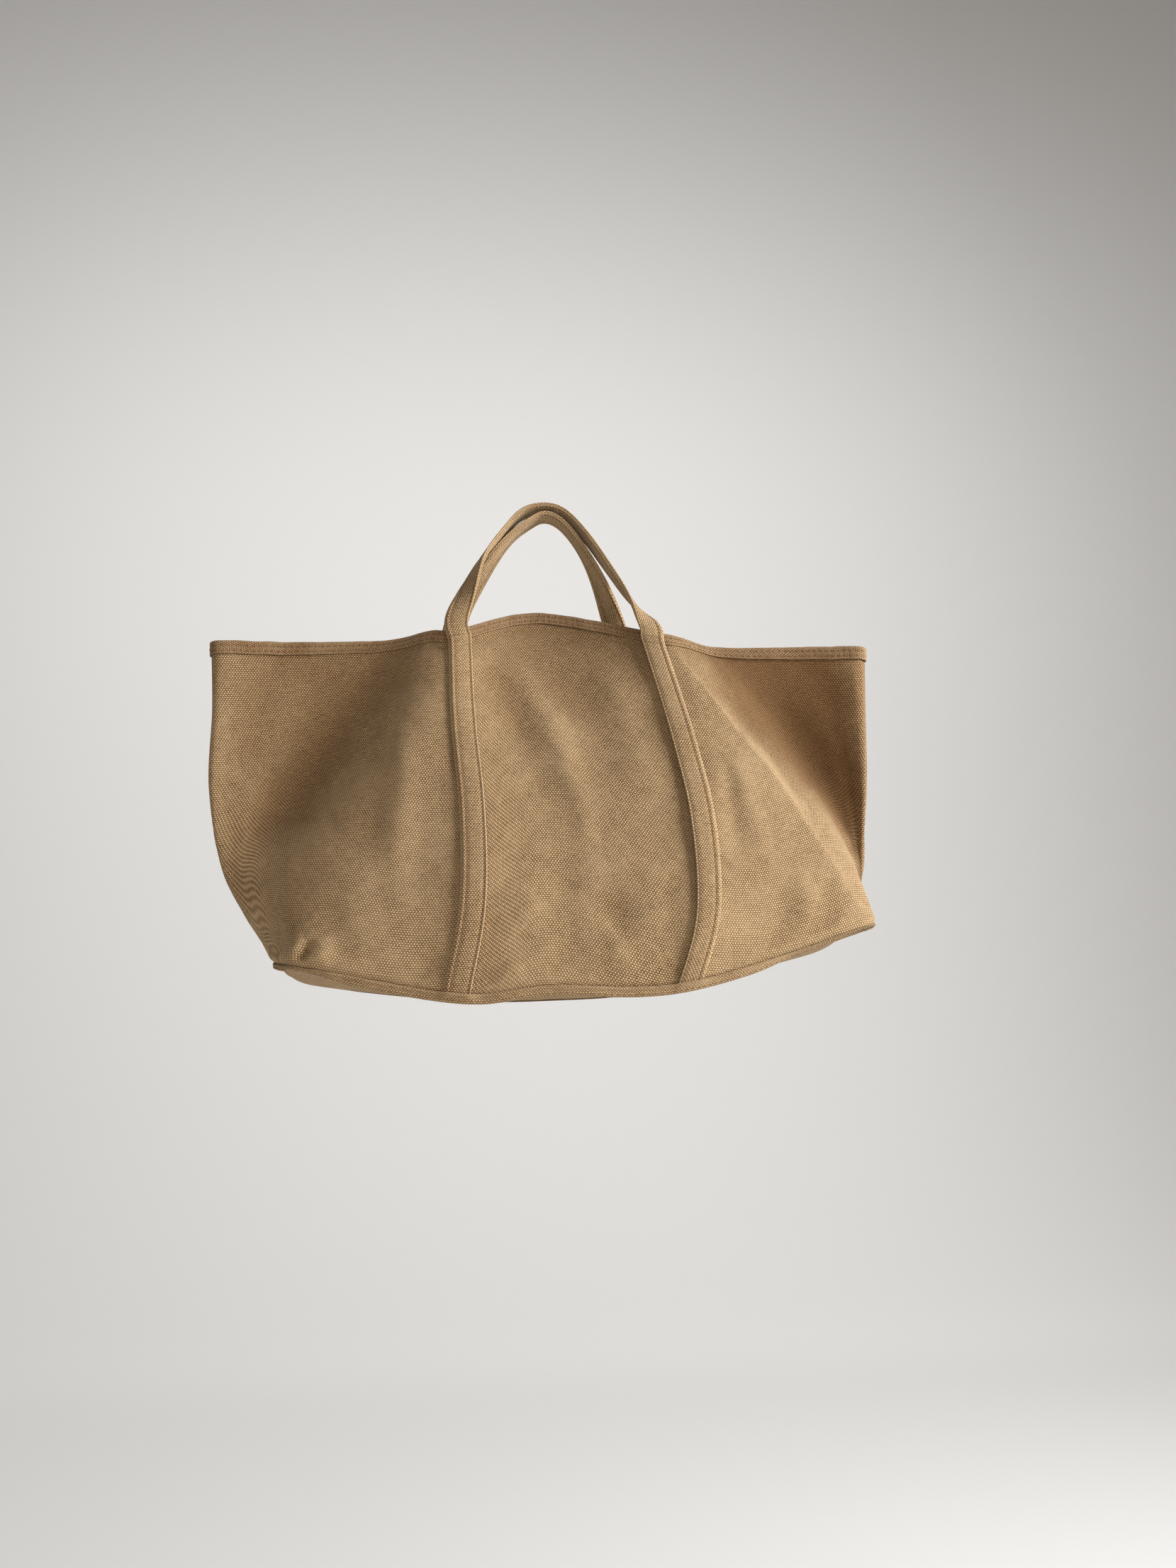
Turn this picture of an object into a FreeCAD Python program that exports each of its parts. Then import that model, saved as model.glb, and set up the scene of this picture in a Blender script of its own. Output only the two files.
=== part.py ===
import FreeCAD, Part
import math
import os

# A large canvas bag hanging by its two handles.  Millimetres.  The origin is the point
# where the handles rest on whatever holds them up; +X is to the right, +Y towards the
# wall behind the bag and +Z up.

Vector = FreeCAD.Vector

# Driving dimensions.  Each one is a cell of the spreadsheet, under its own alias.
SIZES = {
    "mouth_width": 600,
    "base_depth": 130,
    "bag_drop": 320,
    "rim_drop": 125,
    "seam_plane": 10,
    "cloth_thick": 1.5,
    "seam_gap": 0.3,
    "tape_thick": 1.3,
    "tape_width": 11,
    "strap_width": 21,
    "strap_thick": 3.6,
    "strap_gap": 0.8,
    "strap_over_tape": 4.3,
    "hinge_gap": 0.8,
    "hinge_offset": 1.7,
    "handle_apart": 1,
    "handle_stack_gap": 3.5,
    "allowance_width": 7,
    "allowance_thick": 1,
    "welt_radius": 1.7,
    "welt_drop": 1.6,
    "thread_thick": 0.7,
    "tack_spacing": 4.2,
    "tack_length": 16,
}

# Columns of the front panel from the left side seam to the right one.  Each runs from
# the rim to the bottom seam in five steps of (across, forward, down): across in half
# mouth widths from the middle, forward in base depths from the side seam's plane, and
# down in bag drops below the rim.
LEFT_SEAM = [(-0.975, 0.20, 0.03), (-0.957, 0.25, 0.22), (-0.948, 0.29, 0.45),
             (-0.885, 0.33, 0.68), (-0.735, 0.43, 0.90)]
LEFT_SIDE = [(-0.75, 0.15, 0.02), (-0.80, 0.19, 0.24), (-0.85, 0.26, 0.47),
             (-0.845, 0.37, 0.68), (-0.73, 0.53, 0.91)]
LEFT_VALLEY = [(-0.47, 0.14, 0.01), (-0.61, 0.15, 0.27), (-0.715, 0.21, 0.48),
               (-0.77, 0.44, 0.69), (-0.69, 0.66, 0.92)]
LEFT_RIDGE = [(-0.34, 0.26, 0.00), (-0.38, 0.43, 0.25), (-0.47, 0.58, 0.49),
              (-0.58, 0.73, 0.74), (-0.64, 0.83, 0.93)]
LEFT_STRAP = [(-0.267, 0.285, 0.00), (-0.247, 0.475, 0.28), (-0.213, 0.69, 0.545),
              (-0.207, 0.875, 0.79), (-0.247, 0.91, 1.00)]
FRONT_MIDDLE = [(-0.027, 0.08, -0.085), (-0.017, 0.34, 0.22), (-0.013, 0.615, 0.505),
                (-0.013, 0.85, 0.78), (-0.02, 0.925, 0.985)]
RIGHT_STRAP = [(0.313, 0.285, 0.00), (0.373, 0.475, 0.28), (0.407, 0.69, 0.55),
               (0.397, 0.885, 0.795), (0.34, 0.91, 0.98)]
RIGHT_RIDGE = [(0.395, 0.25, 0.01), (0.515, 0.41, 0.25), (0.65, 0.52, 0.45),
               (0.768, 0.63, 0.655), (0.826, 0.74, 0.845)]
RIGHT_VALLEY = [(0.51, 0.14, 0.02), (0.68, 0.12, 0.22), (0.79, 0.19, 0.42),
                (0.853, 0.37, 0.63), (0.85, 0.57, 0.835)]
RIGHT_SIDE = [(0.76, 0.15, 0.02), (0.835, 0.17, 0.22), (0.88, 0.22, 0.43),
              (0.883, 0.32, 0.645), (0.858, 0.46, 0.825)]
RIGHT_SEAM = [(0.97, 0.21, 0.03), (0.952, 0.25, 0.22), (0.934, 0.28, 0.43),
              (0.90, 0.31, 0.63), (0.858, 0.385, 0.81)]

# Columns of the back panel between the same two seams, in the same measures.
BACK_LEFT = [(-0.70, 0.03, 0.01), (-0.73, 0.02, 0.235), (-0.75, 0.01, 0.455),
             (-0.745, -0.02, 0.69), (-0.67, -0.045, 0.935)]
BACK_LEFT_STRAP = [(-0.287, -0.055, 0.00), (-0.307, -0.07, 0.25), (-0.317, -0.077, 0.50),
                   (-0.30, -0.077, 0.75), (-0.287, -0.06, 0.98)]
BACK_MIDDLE = [(-0.02, -0.02, -0.01), (-0.017, -0.06, 0.25), (-0.01, -0.077, 0.50),
               (0.0, -0.077, 0.75), (0.0, -0.065, 0.985)]
BACK_RIGHT_STRAP = [(0.24, -0.055, 0.00), (0.273, -0.07, 0.25), (0.293, -0.077, 0.50),
                    (0.30, -0.077, 0.745), (0.307, -0.06, 0.965)]
BACK_RIGHT = [(0.69, 0.03, 0.01), (0.73, 0.02, 0.235), (0.77, 0.01, 0.455),
              (0.79, -0.02, 0.675), (0.773, -0.045, 0.87)]

# Middle line of each handle from the left rim to the right rim: (across in half mouth
# widths, rise as a share of the rim's drop below the top, twist in degrees, lean).  The
# lean is the share of the way from the rim's depth to the depth over the top.
FRONT_HANDLE = [(-0.267, 0.00, 0, 0.00), (-0.264, 0.09, 0, 0.10), (-0.246, 0.23, 18, 0.28),
                (-0.222, 0.39, 48, 0.45), (-0.189, 0.58, 72, 0.65), (-0.129, 0.80, 84, 0.88),
                (-0.066, 0.957, 90, 1.00), (0.003, 1.00, 90, 1.00), (0.064, 0.955, 90, 1.00),
                (0.130, 0.78, 90, 0.95), (0.190, 0.55, 92, 0.80), (0.246, 0.31, 100, 0.55),
                (0.281, 0.16, 128, 0.32), (0.300, 0.075, 165, 0.14), (0.313, 0.00, 180, 0.00)]
BACK_HANDLE = [(-0.287, 0.00, 0, 0.00), (-0.282, 0.10, 8, 0.12), (-0.256, 0.30, 30, 0.36),
               (-0.205, 0.50, 58, 0.57), (-0.139, 0.71, 78, 0.81), (-0.087, 0.85, 88, 0.96),
               (-0.041, 0.947, 90, 1.00), (0.000, 1.00, 90, 1.00), (0.047, 0.955, 90, 1.00),
               (0.096, 0.82, 92, 0.96), (0.140, 0.65, 102, 0.83), (0.178, 0.46, 122, 0.60),
               (0.208, 0.27, 150, 0.33), (0.230, 0.11, 172, 0.12), (0.240, 0.00, 180, 0.00)]

# Places across each panel, counted in columns.
EDGE_SHARE = 0.16
EDGE_BULGE = 4.5
STRAP_COLUMNS = {"front": (5.0, 7.0), "back": (3.0, 5.0)}
LAST_COLUMN = {"front": 12.0, "back": 8.0}

PANEL_COLUMNS = 37
PANEL_ROWS = 12
BASE_COLUMNS = 25
BASE_ROWS = 11
BINDING_STATIONS = 37
BINDING_INSET = 0.35
STRAP_STATIONS = 14
STRAP_START = 0.022
STRAP_END = 0.985
HANDLE_STATIONS = 34
SIDE_SEAM_STATIONS = 12
SIDE_SEAM_START = 0.05
SIDE_SEAM_END = 0.8
BASE_SEAM_STATIONS = 15
BASE_SEAM_COLUMNS = {"front": (4.3, 7.7), "back": (2.3, 5.7)}
WELT_STATIONS = 17
WELT_SIDES = 8
WELT_INSET = 0.04
TACK_SHARE = 0.03


def make_sheet(doc):
    """Put the driving dimensions in the spreadsheet, one aliased cell each."""
    sheet = doc.addObject("Spreadsheet::Sheet", "Sizes")
    for row, (alias, value) in enumerate(SIZES.items(), start=2):
        sheet.set("A%d" % row, alias.replace("_", " "))
        sheet.set("B%d" % row, str(value))
        sheet.setAlias("B%d" % row, alias)
    doc.recompute()
    return sheet


def along(points, share):
    """A smooth line through points; share runs from 0 to 1 over it."""
    last = len(points) - 1
    place = min(max(share, 0.0), 1.0) * last
    index = min(int(place), last - 1)
    t = place - index
    start = points[index]
    end = points[index + 1]
    before = points[index - 1] if index > 0 else start * 2 - end
    after = points[index + 2] if index + 2 <= last else end * 2 - start
    slope_start = (end - before) * 0.5
    slope_end = (after - start) * 0.5
    square = t * t
    cube = square * t
    return (start * (2 * cube - 3 * square + 1) + slope_start * (cube - 2 * square + t)
            + end * (3 * square - 2 * cube) + slope_end * (cube - square))


class Shell:
    """The bag's cloth as two surfaces, addressed by column and by share of the drop."""

    def __init__(self, sheet):
        self.sheet = sheet
        front = [LEFT_SEAM, LEFT_SIDE, LEFT_VALLEY, LEFT_RIDGE, LEFT_STRAP, FRONT_MIDDLE,
                 RIGHT_STRAP, RIGHT_RIDGE, RIGHT_VALLEY, RIGHT_SIDE, RIGHT_SEAM]
        back = [LEFT_SEAM, BACK_LEFT, BACK_LEFT_STRAP, BACK_MIDDLE, BACK_RIGHT_STRAP,
                BACK_RIGHT, RIGHT_SEAM]
        self.columns = {"front": [self.column(line) for line in front],
                        "back": [self.column(line) for line in back]}
        self.outward = {"front": 1.0, "back": -1.0}

    def column(self, line):
        """Turn a column's shares into points in the bag's frame."""
        half = self.sheet.mouth_width / 2
        points = []
        for across, forward, down in line:
            depth = self.sheet.seam_plane - forward * self.sheet.base_depth
            height = -self.sheet.rim_drop - down * self.sheet.bag_drop
            points.append(Vector(across * half, depth, height))
        return points

    def row(self, side, share):
        """The columns' points at one height, with a blunt edge beside each seam."""
        points = [along(column, share) for column in self.columns[side]]
        bulge = EDGE_BULGE * (1 - share)
        left = self.edge_point(points[0], points[1], -self.outward[side] * bulge)
        right = self.edge_point(points[-1], points[-2], self.outward[side] * bulge)
        return [points[0], left] + points[1:-1] + [right, points[-1]]

    def edge_point(self, seam, inner, bulge):
        """A point just inside a seam, pushed out so that the edge is blunt."""
        chord = inner - seam
        level = Vector(chord.x, chord.y, 0)
        level.normalize()
        return seam + chord * EDGE_SHARE + Vector(-level.y, level.x, 0) * bulge

    def point(self, side, column, share):
        row = self.row(side, share)
        return along(row, column / (len(row) - 1))

    def frame(self, side, column, share):
        """Point, direction across, direction down and outward normal at one place."""
        small_column = 0.05
        small_share = 0.01
        last = LAST_COLUMN[side]
        left = self.point(side, max(column - small_column, 0), share)
        right = self.point(side, min(column + small_column, last), share)
        above = self.point(side, column, max(share - small_share, 0))
        below = self.point(side, column, min(share + small_share, 1))
        across = right - left
        down = below - above
        normal = down.cross(across) * self.outward[side]
        across.normalize()
        down.normalize()
        normal.normalize()
        return self.point(side, column, share), across, down, normal

    def offset(self, side, column, share, distance):
        place, _, _, normal = self.frame(side, column, share)
        return place + normal * distance

    def column_beside(self, side, column, share, distance):
        """The column a given distance to the right along the cloth."""
        step = 0.05
        span = self.point(side, column + step, share) - self.point(side, column - step, share)
        return column + distance * 2 * step / span.Length


def line_through(points):
    """The smooth curve through evenly numbered points."""
    curve = Part.BSplineCurve()
    curve.interpolate(Points=points, Parameters=[float(index) for index in range(len(points))])
    return curve


def skin(grid):
    """The smooth surface through a grid of points."""
    rows = [line_through(row) for row in grid]
    row_poles = [row.getPoles() for row in rows]
    columns = [line_through(list(column)) for column in zip(*row_poles)]
    poles = [list(row) for row in zip(*[column.getPoles() for column in columns])]
    surface = Part.BSplineSurface()
    surface.buildFromPolesMultsKnots(poles, columns[0].getMultiplicities(),
                                     rows[0].getMultiplicities(), columns[0].getKnots(),
                                     rows[0].getKnots(), False, False, 3, 3)
    return surface


def strip_between(first, second):
    """The face swept by straight lines between two curves with the same knots."""
    surface = Part.BSplineSurface()
    surface.buildFromPolesMultsKnots([first.getPoles(), second.getPoles()], [2, 2],
                                     first.getMultiplicities(), [0.0, 1.0],
                                     first.getKnots(), False, False, 1, first.Degree)
    return surface.toShape()


def solid_from(faces):
    """Sew faces into one closed solid that is the right way out."""
    shell = Part.makeShell(faces)
    shell.sewShape()
    solid = Part.makeSolid(shell)
    if solid.Volume < 0:
        solid.reverse()
    return solid


def slab(outer, inner):
    """A thin solid between two grids of points."""
    outside = skin(outer)
    inside = skin(inner)
    u_first, u_last, v_first, v_last = outside.bounds()
    faces = [outside.toShape(), inside.toShape()]
    for place in (u_first, u_last):
        faces.append(strip_between(outside.uIso(place), inside.uIso(place)))
    for place in (v_first, v_last):
        faces.append(strip_between(outside.vIso(place), inside.vIso(place)))
    return solid_from(faces)


def four_sided(corners):
    """The face between four corners that may not lie quite flat."""
    surface = Part.BSplineSurface()
    surface.buildFromPolesMultsKnots([[corners[0], corners[1]], [corners[3], corners[2]]],
                                     [2, 2], [2, 2], [0.0, 1.0], [0.0, 1.0],
                                     False, False, 1, 1)
    return surface.toShape()


def bar(rails):
    """A long solid whose cross-section's corners follow the given lines."""
    curves = [line_through(points) for points in rails]
    faces = []
    for index, curve in enumerate(curves):
        faces.append(strip_between(curve, curves[(index + 1) % len(curves)]))
    for end in (0, -1):
        corners = [points[end] for points in rails]
        if len(corners) == 4:
            faces.append(four_sided(corners))
        else:
            faces.append(Part.Face(Part.makePolygon(corners + corners[:1])))
    return solid_from(faces)


def shares(count, first=0.0, last=1.0):
    return [first + (last - first) * index / (count - 1) for index in range(count)]


def panel(shell, side):
    """One side of the bag, from seam to seam and from the rim to the bottom seam."""
    thick = shell.sheet.cloth_thick
    outer = []
    inner = []
    for column in shares(PANEL_COLUMNS, 0.0, LAST_COLUMN[side]):
        outer.append([shell.offset(side, column, v, thick) for v in shares(PANEL_ROWS)])
        inner.append([shell.point(side, column, v) for v in shares(PANEL_ROWS)])
    return slab(outer, inner)


def base_edges(shell):
    """The four edges of the base, corner to corner, as functions of a share."""
    ridge = {"front": (4.0, 8.0), "back": (2.0, 6.0)}

    def long_edge(side):
        first, last = ridge[side]
        return lambda s: shell.point(side, first + (last - first) * s, 1.0)

    def short_edge(on_left):
        corner = 0 if on_left else 1

        def place(s):
            side = "front" if s < 0.5 else "back"
            seam = 0.0 if on_left else LAST_COLUMN[side]
            from_seam = abs(s - 0.5) * 2
            column = seam + (ridge[side][corner] - seam) * from_seam
            return shell.point(side, column, 1.0)
        return place

    return long_edge("front"), long_edge("back"), short_edge(True), short_edge(False)


def base_point(edges, across, backward):
    """A point of the base: the four edges blended into one sheet."""
    front, back, left, right = edges
    sides = front(across) * (1 - backward) + back(across) * backward
    ends = left(backward) * (1 - across) + right(backward) * across
    corners = ((front(0) * (1 - across) + front(1) * across) * (1 - backward)
               + (back(0) * (1 - across) + back(1) * across) * backward)
    return sides + ends - corners


def bottom_panel(shell):
    """The base, sewn to both sides along its edge and sagging a little."""
    sheet = shell.sheet
    edges = base_edges(shell)
    inset = 0.004
    sag = 4.0
    outer = []
    inner = []
    for across in shares(BASE_COLUMNS, inset, 1 - inset):
        column = []
        for backward in shares(BASE_ROWS, inset, 1 - inset):
            place = base_point(edges, across, backward)
            depth = sag * math.sin(math.pi * across) * math.sin(math.pi * backward)
            column.append(place - Vector(0, 0, depth + sheet.seam_gap))
        inner.append(column)
        outer.append([place - Vector(0, 0, sheet.cloth_thick) for place in column])
    return slab(outer, inner)


def rim_binding(shell, side):
    """Folded tape over one side's rim: an upside-down U that hugs the cloth."""
    sheet = shell.sheet
    near = sheet.seam_gap
    far = near + sheet.tape_thick
    outline = [(sheet.cloth_thick + far, sheet.tape_width), (sheet.cloth_thick + far, -far),
               (-far, -far), (-far, sheet.tape_width), (-near, sheet.tape_width),
               (-near, -near), (sheet.cloth_thick + near, -near),
               (sheet.cloth_thick + near, sheet.tape_width)]
    rails = [[] for _ in outline]
    for column in shares(BINDING_STATIONS, BINDING_INSET, LAST_COLUMN[side] - BINDING_INSET):
        place, _, down, normal = shell.frame(side, column, 0.0)
        for rail, (out, drop) in zip(rails, outline):
            rail.append(place + normal * out + down * drop)
    return bar(rails)


def strap_lift(sheet, share):
    """How far the strap's inner face stands off the panel: it rides over the tape."""
    flat = sheet.cloth_thick + sheet.strap_gap
    tape_end = 0.05
    ramp_end = 0.11
    blend = min(max((share - tape_end) / (ramp_end - tape_end), 0.0), 1.0)
    return sheet.strap_over_tape + (flat - sheet.strap_over_tape) * blend


def panel_strap(shell, side, column):
    """The strap sewn down one panel, from the rim to just above the bottom seam."""
    sheet = shell.sheet
    half = sheet.strap_width / 2
    rails = [[], [], [], []]
    for share in shares(STRAP_STATIONS, STRAP_START, STRAP_END):
        lift = strap_lift(sheet, share)
        left = shell.column_beside(side, column, share, -half)
        right = shell.column_beside(side, column, share, half)
        rails[0].append(shell.offset(side, left, share, lift))
        rails[1].append(shell.offset(side, right, share, lift))
        rails[2].append(shell.offset(side, right, share, lift + sheet.strap_thick))
        rails[3].append(shell.offset(side, left, share, lift + sheet.strap_thick))
    return bar(rails)


def strap_top(shell, side, column):
    """Middle of the strap's thickness at the rim, where its handle takes over."""
    sheet = shell.sheet
    return shell.offset(side, column, 0.0, sheet.strap_over_tape + sheet.strap_thick / 2)


def hinge_line(shell, side):
    """Depth and height of the line that a handle folds about."""
    sheet = shell.sheet
    out = sheet.strap_thick / 2 + sheet.hinge_offset
    left, right = [strap_top(shell, side, column) for column in STRAP_COLUMNS[side]]
    middle = (left + right) * 0.5
    forward = -1.0 if side == "front" else 1.0
    return middle.y + forward * out, middle.z


def handle(shell, side):
    """A handle: flat against the rim at both ends and turned edge-on over the top."""
    sheet = shell.sheet
    line = FRONT_HANDLE if side == "front" else BACK_HANDLE
    sign = 1.0 if side == "front" else -1.0
    half_mouth = sheet.mouth_width / 2
    base = [strap_top(shell, side, column) for column in STRAP_COLUMNS[side]]
    base_depth = (base[0].y + base[1].y) / 2
    base_height = (base[0].z + base[1].z) / 2 + sheet.hinge_gap
    top_depth = -sheet.handle_apart * sign
    top_height = sheet.strap_thick / 2
    if side == "front":
        top_height += sheet.strap_thick + sheet.handle_stack_gap
    middle = []
    twists = []
    for across, rise, twist, lean in line:
        middle.append(Vector(across * half_mouth, base_depth + (top_depth - base_depth) * lean,
                             base_height + (top_height - base_height) * rise))
        twists.append(Vector(twist, 0, 0))
    rails = [[], [], [], []]
    small = 0.002
    for share in shares(HANDLE_STATIONS):
        place = along(middle, share)
        tangent = along(middle, share + small) - along(middle, share - small)
        tangent.normalize()
        turn = math.radians(along(twists, share).x)
        width = Vector(sign * math.cos(turn), -math.sin(turn), 0)
        if share in (0.0, 1.0):
            tangent = Vector(0, 0, tangent.z)
            tangent.normalize()
        width = width - tangent * width.dot(tangent)
        width.normalize()
        inward = tangent.cross(width)
        for rail, (along_width, along_thick) in zip(rails, [(-1, 1), (1, 1), (1, -1), (-1, -1)]):
            rail.append(place + width * (along_width * sheet.strap_width / 2)
                        + inward * (along_thick * sheet.strap_thick / 2))
    return bar(rails)


def side_seam(shell, on_left):
    """The two panels' edges, sewn together and standing inward behind the side seam."""
    sheet = shell.sheet
    clear = 4.0
    inner_column = 1.0
    rails = [[], [], [], []]
    for share in shares(SIDE_SEAM_STATIONS, SIDE_SEAM_START, SIDE_SEAM_END):
        seam = shell.point("front", 0.0 if on_left else LAST_COLUMN["front"], share)
        beside = []
        for side in ("front", "back"):
            column = inner_column if on_left else LAST_COLUMN[side] - inner_column
            beside.append(shell.point(side, column, share))
        inward = (beside[0] + beside[1]) * 0.5 - seam
        inward.z = 0
        inward.normalize()
        sideways = Vector(-inward.y, inward.x, 0) * (sheet.allowance_thick / 2)
        near = seam + inward * clear
        far = near + inward * sheet.allowance_width
        for rail, corner in zip(rails, [near + sideways, far + sideways,
                                        far - sideways, near - sideways]):
            rail.append(corner)
    return bar(rails)


def base_seam(shell, side):
    """Seam allowance inside, along the bottom of one long side."""
    sheet = shell.sheet
    near = 0.6
    rails = [[], [], [], []]
    foot = 4.0
    for column in shares(BASE_SEAM_STATIONS, *BASE_SEAM_COLUMNS[side]):
        place, _, down, normal = shell.frame(side, column, 1.0)
        low = place - down * foot
        high = low - down * sheet.allowance_width
        for rail, corner in zip(rails, [low - normal * near,
                                        low - normal * (near + sheet.allowance_thick),
                                        high - normal * (near + sheet.allowance_thick),
                                        high - normal * near]):
            rail.append(corner)
    return bar(rails)


def welt(shell, edge, outward):
    """The rounded lip of the folded base cloth outside one edge of the base."""
    sheet = shell.sheet
    radius = sheet.welt_radius
    stand_off = radius + sheet.cloth_thick + sheet.seam_gap
    points = [edge(share) for share in shares(WELT_STATIONS, WELT_INSET, 1 - WELT_INSET)]
    rails = [[] for _ in range(WELT_SIDES)]
    for index, place in enumerate(points):
        ahead = points[min(index + 1, len(points) - 1)]
        behind = points[max(index - 1, 0)]
        tangent = ahead - behind
        tangent.normalize()
        out = outward - tangent * outward.dot(tangent)
        out.normalize()
        side = tangent.cross(out)
        drop = Vector(0, 0, -sheet.welt_drop)
        centre = place + out * stand_off + drop
        for turn, rail in enumerate(rails):
            angle = 2 * math.pi * turn / WELT_SIDES
            rail.append(centre + out * (radius * math.cos(angle))
                        + side * (radius * math.sin(angle)))
    return bar(rails)


def tack(doc, sheet, name, shell, side, column):
    """Two rows of bar-tack thread across a strap where it crosses the rim tape."""
    rows = []
    for index in range(2):
        row = doc.addObject("Part::Box", "%s_row_%d" % (name, index + 1))
        row.setExpression("Length", "Sizes.tack_length")
        row.setExpression("Width", "Sizes.thread_thick")
        row.setExpression("Height", "Sizes.thread_thick")
        row.setExpression("Placement.Base.x", "-Sizes.tack_length / 2")
        row.setExpression("Placement.Base.y", "Sizes.tack_spacing * %d" % index)
        rows.append(row)
    group = doc.addObject("Part::Compound", name)
    group.Links = rows
    doc.recompute()
    clear = 0.1
    place, across, down, normal = shell.frame(side, column, TACK_SHARE)
    lift = strap_lift(sheet, TACK_SHARE) + sheet.strap_thick + clear
    turn = FreeCAD.Rotation(across, down, normal, "XZY")
    group.Placement = FreeCAD.Placement(place + normal * lift, turn)
    return group


def add_piece(doc, name, shape):
    piece = doc.addObject("Part::Feature", name)
    piece.Shape = shape
    piece.Placement = FreeCAD.Placement()
    piece.Label = name
    return piece


def build(doc, sheet):
    """Every piece of the bag, each as its own labelled object."""
    shell = Shell(sheet)
    pieces = []
    for side in ("front", "back"):
        pieces.append(add_piece(doc, side + "_panel", panel(shell, side)))
        pieces.append(add_piece(doc, "rim_binding_" + side, rim_binding(shell, side)))
        pieces.append(add_piece(doc, side + "_handle", handle(shell, side)))
        pieces.append(add_piece(doc, "base_seam_" + side, base_seam(shell, side)))
        for hand, column in zip(("left", "right"), STRAP_COLUMNS[side]):
            strap = panel_strap(shell, side, column)
            pieces.append(add_piece(doc, "%s_strap_%s" % (side, hand), strap))
            name = "%s_strap_tack_%s" % (side, hand)
            pieces.append(tack(doc, sheet, name, shell, side, column))
    pieces.append(add_piece(doc, "bottom_panel", bottom_panel(shell)))
    pieces.append(add_piece(doc, "side_seam_left", side_seam(shell, True)))
    pieces.append(add_piece(doc, "side_seam_right", side_seam(shell, False)))
    front, back, left, right = base_edges(shell)
    for name, edge, outward in (("front", front, Vector(0, -1, 0)), ("back", back, Vector(0, 1, 0)),
                                ("left", left, Vector(-1, 0, 0)), ("right", right, Vector(1, 0, 0))):
        pieces.append(add_piece(doc, "bottom_welt_" + name, welt(shell, edge, outward)))
    for side in ("front", "back"):
        depth, height = hinge_line(shell, side)
        print("%s handle folds about depth %.2f, height %.2f" % (side, depth, height))
    return pieces


def check(doc, pieces):
    """Refuse to write anything if a single object is broken."""
    for thing in doc.Objects:
        if "Invalid" in thing.State or "Error" in thing.State:
            raise RuntimeError("%s is in state %s" % (thing.Label, thing.State))
    for piece in pieces:
        shape = piece.Shape
        if shape.isNull() or not shape.isValid() or not shape.Solids:
            raise RuntimeError("%s has no valid solid" % piece.Label)
        if shape.Volume <= 0:
            raise RuntimeError("%s is inside out" % piece.Label)
        print("%-26s volume %9.1f mm3" % (piece.Label, shape.Volume))


def main():
    os.makedirs("parts", exist_ok=True)
    doc = FreeCAD.newDocument("canvas_bag")
    sheet = make_sheet(doc)
    pieces = build(doc, sheet)
    doc.recompute()
    check(doc, pieces)
    for piece in pieces:
        piece.Shape.exportStep("parts/%s.step" % piece.Label)


main()
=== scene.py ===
import math

import bpy
import numpy as np
from mathutils import Matrix, Vector


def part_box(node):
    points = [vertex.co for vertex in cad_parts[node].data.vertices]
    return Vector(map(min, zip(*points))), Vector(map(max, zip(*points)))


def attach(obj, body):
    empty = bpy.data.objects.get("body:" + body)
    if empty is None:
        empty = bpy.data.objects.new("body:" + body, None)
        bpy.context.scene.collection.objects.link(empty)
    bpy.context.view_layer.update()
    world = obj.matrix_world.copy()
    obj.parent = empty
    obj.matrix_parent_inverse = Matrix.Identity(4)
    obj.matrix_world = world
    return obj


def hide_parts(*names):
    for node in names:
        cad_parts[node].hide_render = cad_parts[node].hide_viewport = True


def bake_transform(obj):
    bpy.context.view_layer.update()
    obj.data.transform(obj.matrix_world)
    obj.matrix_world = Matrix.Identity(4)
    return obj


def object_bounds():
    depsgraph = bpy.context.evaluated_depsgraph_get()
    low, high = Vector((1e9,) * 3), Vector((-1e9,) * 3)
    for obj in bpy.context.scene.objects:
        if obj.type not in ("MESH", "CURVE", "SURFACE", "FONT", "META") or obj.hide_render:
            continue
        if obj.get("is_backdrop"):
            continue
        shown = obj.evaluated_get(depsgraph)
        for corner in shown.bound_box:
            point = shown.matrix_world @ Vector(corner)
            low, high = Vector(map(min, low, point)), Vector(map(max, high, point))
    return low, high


# A large canvas beach bag hanging by its two handles.  Metres, in the frame of the packed
# model: the origin is where the handles rest, +X right, +Y towards the wall, +Z up.

MM = 0.001

# Sizes that the cloth surfaces are worked out from, before they are fitted to the frame.
HALF_MOUTH = 300 * MM
BASE_DEPTH = 130 * MM
BAG_DROP = 320 * MM
RIM_DROP = 125 * MM
SEAM_PLANE = 10 * MM
CLOTH_THICK = 1.5 * MM
STRAP_WIDTH = 21 * MM
STRAP_THICK = 3.6 * MM
STRAP_GAP = 0.8 * MM
STRAP_OVER_TAPE = 4.3 * MM
HINGE_GAP = 0.8 * MM
HANDLE_APART = 1 * MM
HANDLE_STACK_GAP = 3.5 * MM
ALLOWANCE_WIDTH = 7 * MM
ALLOWANCE_CLEAR = 4 * MM

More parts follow.
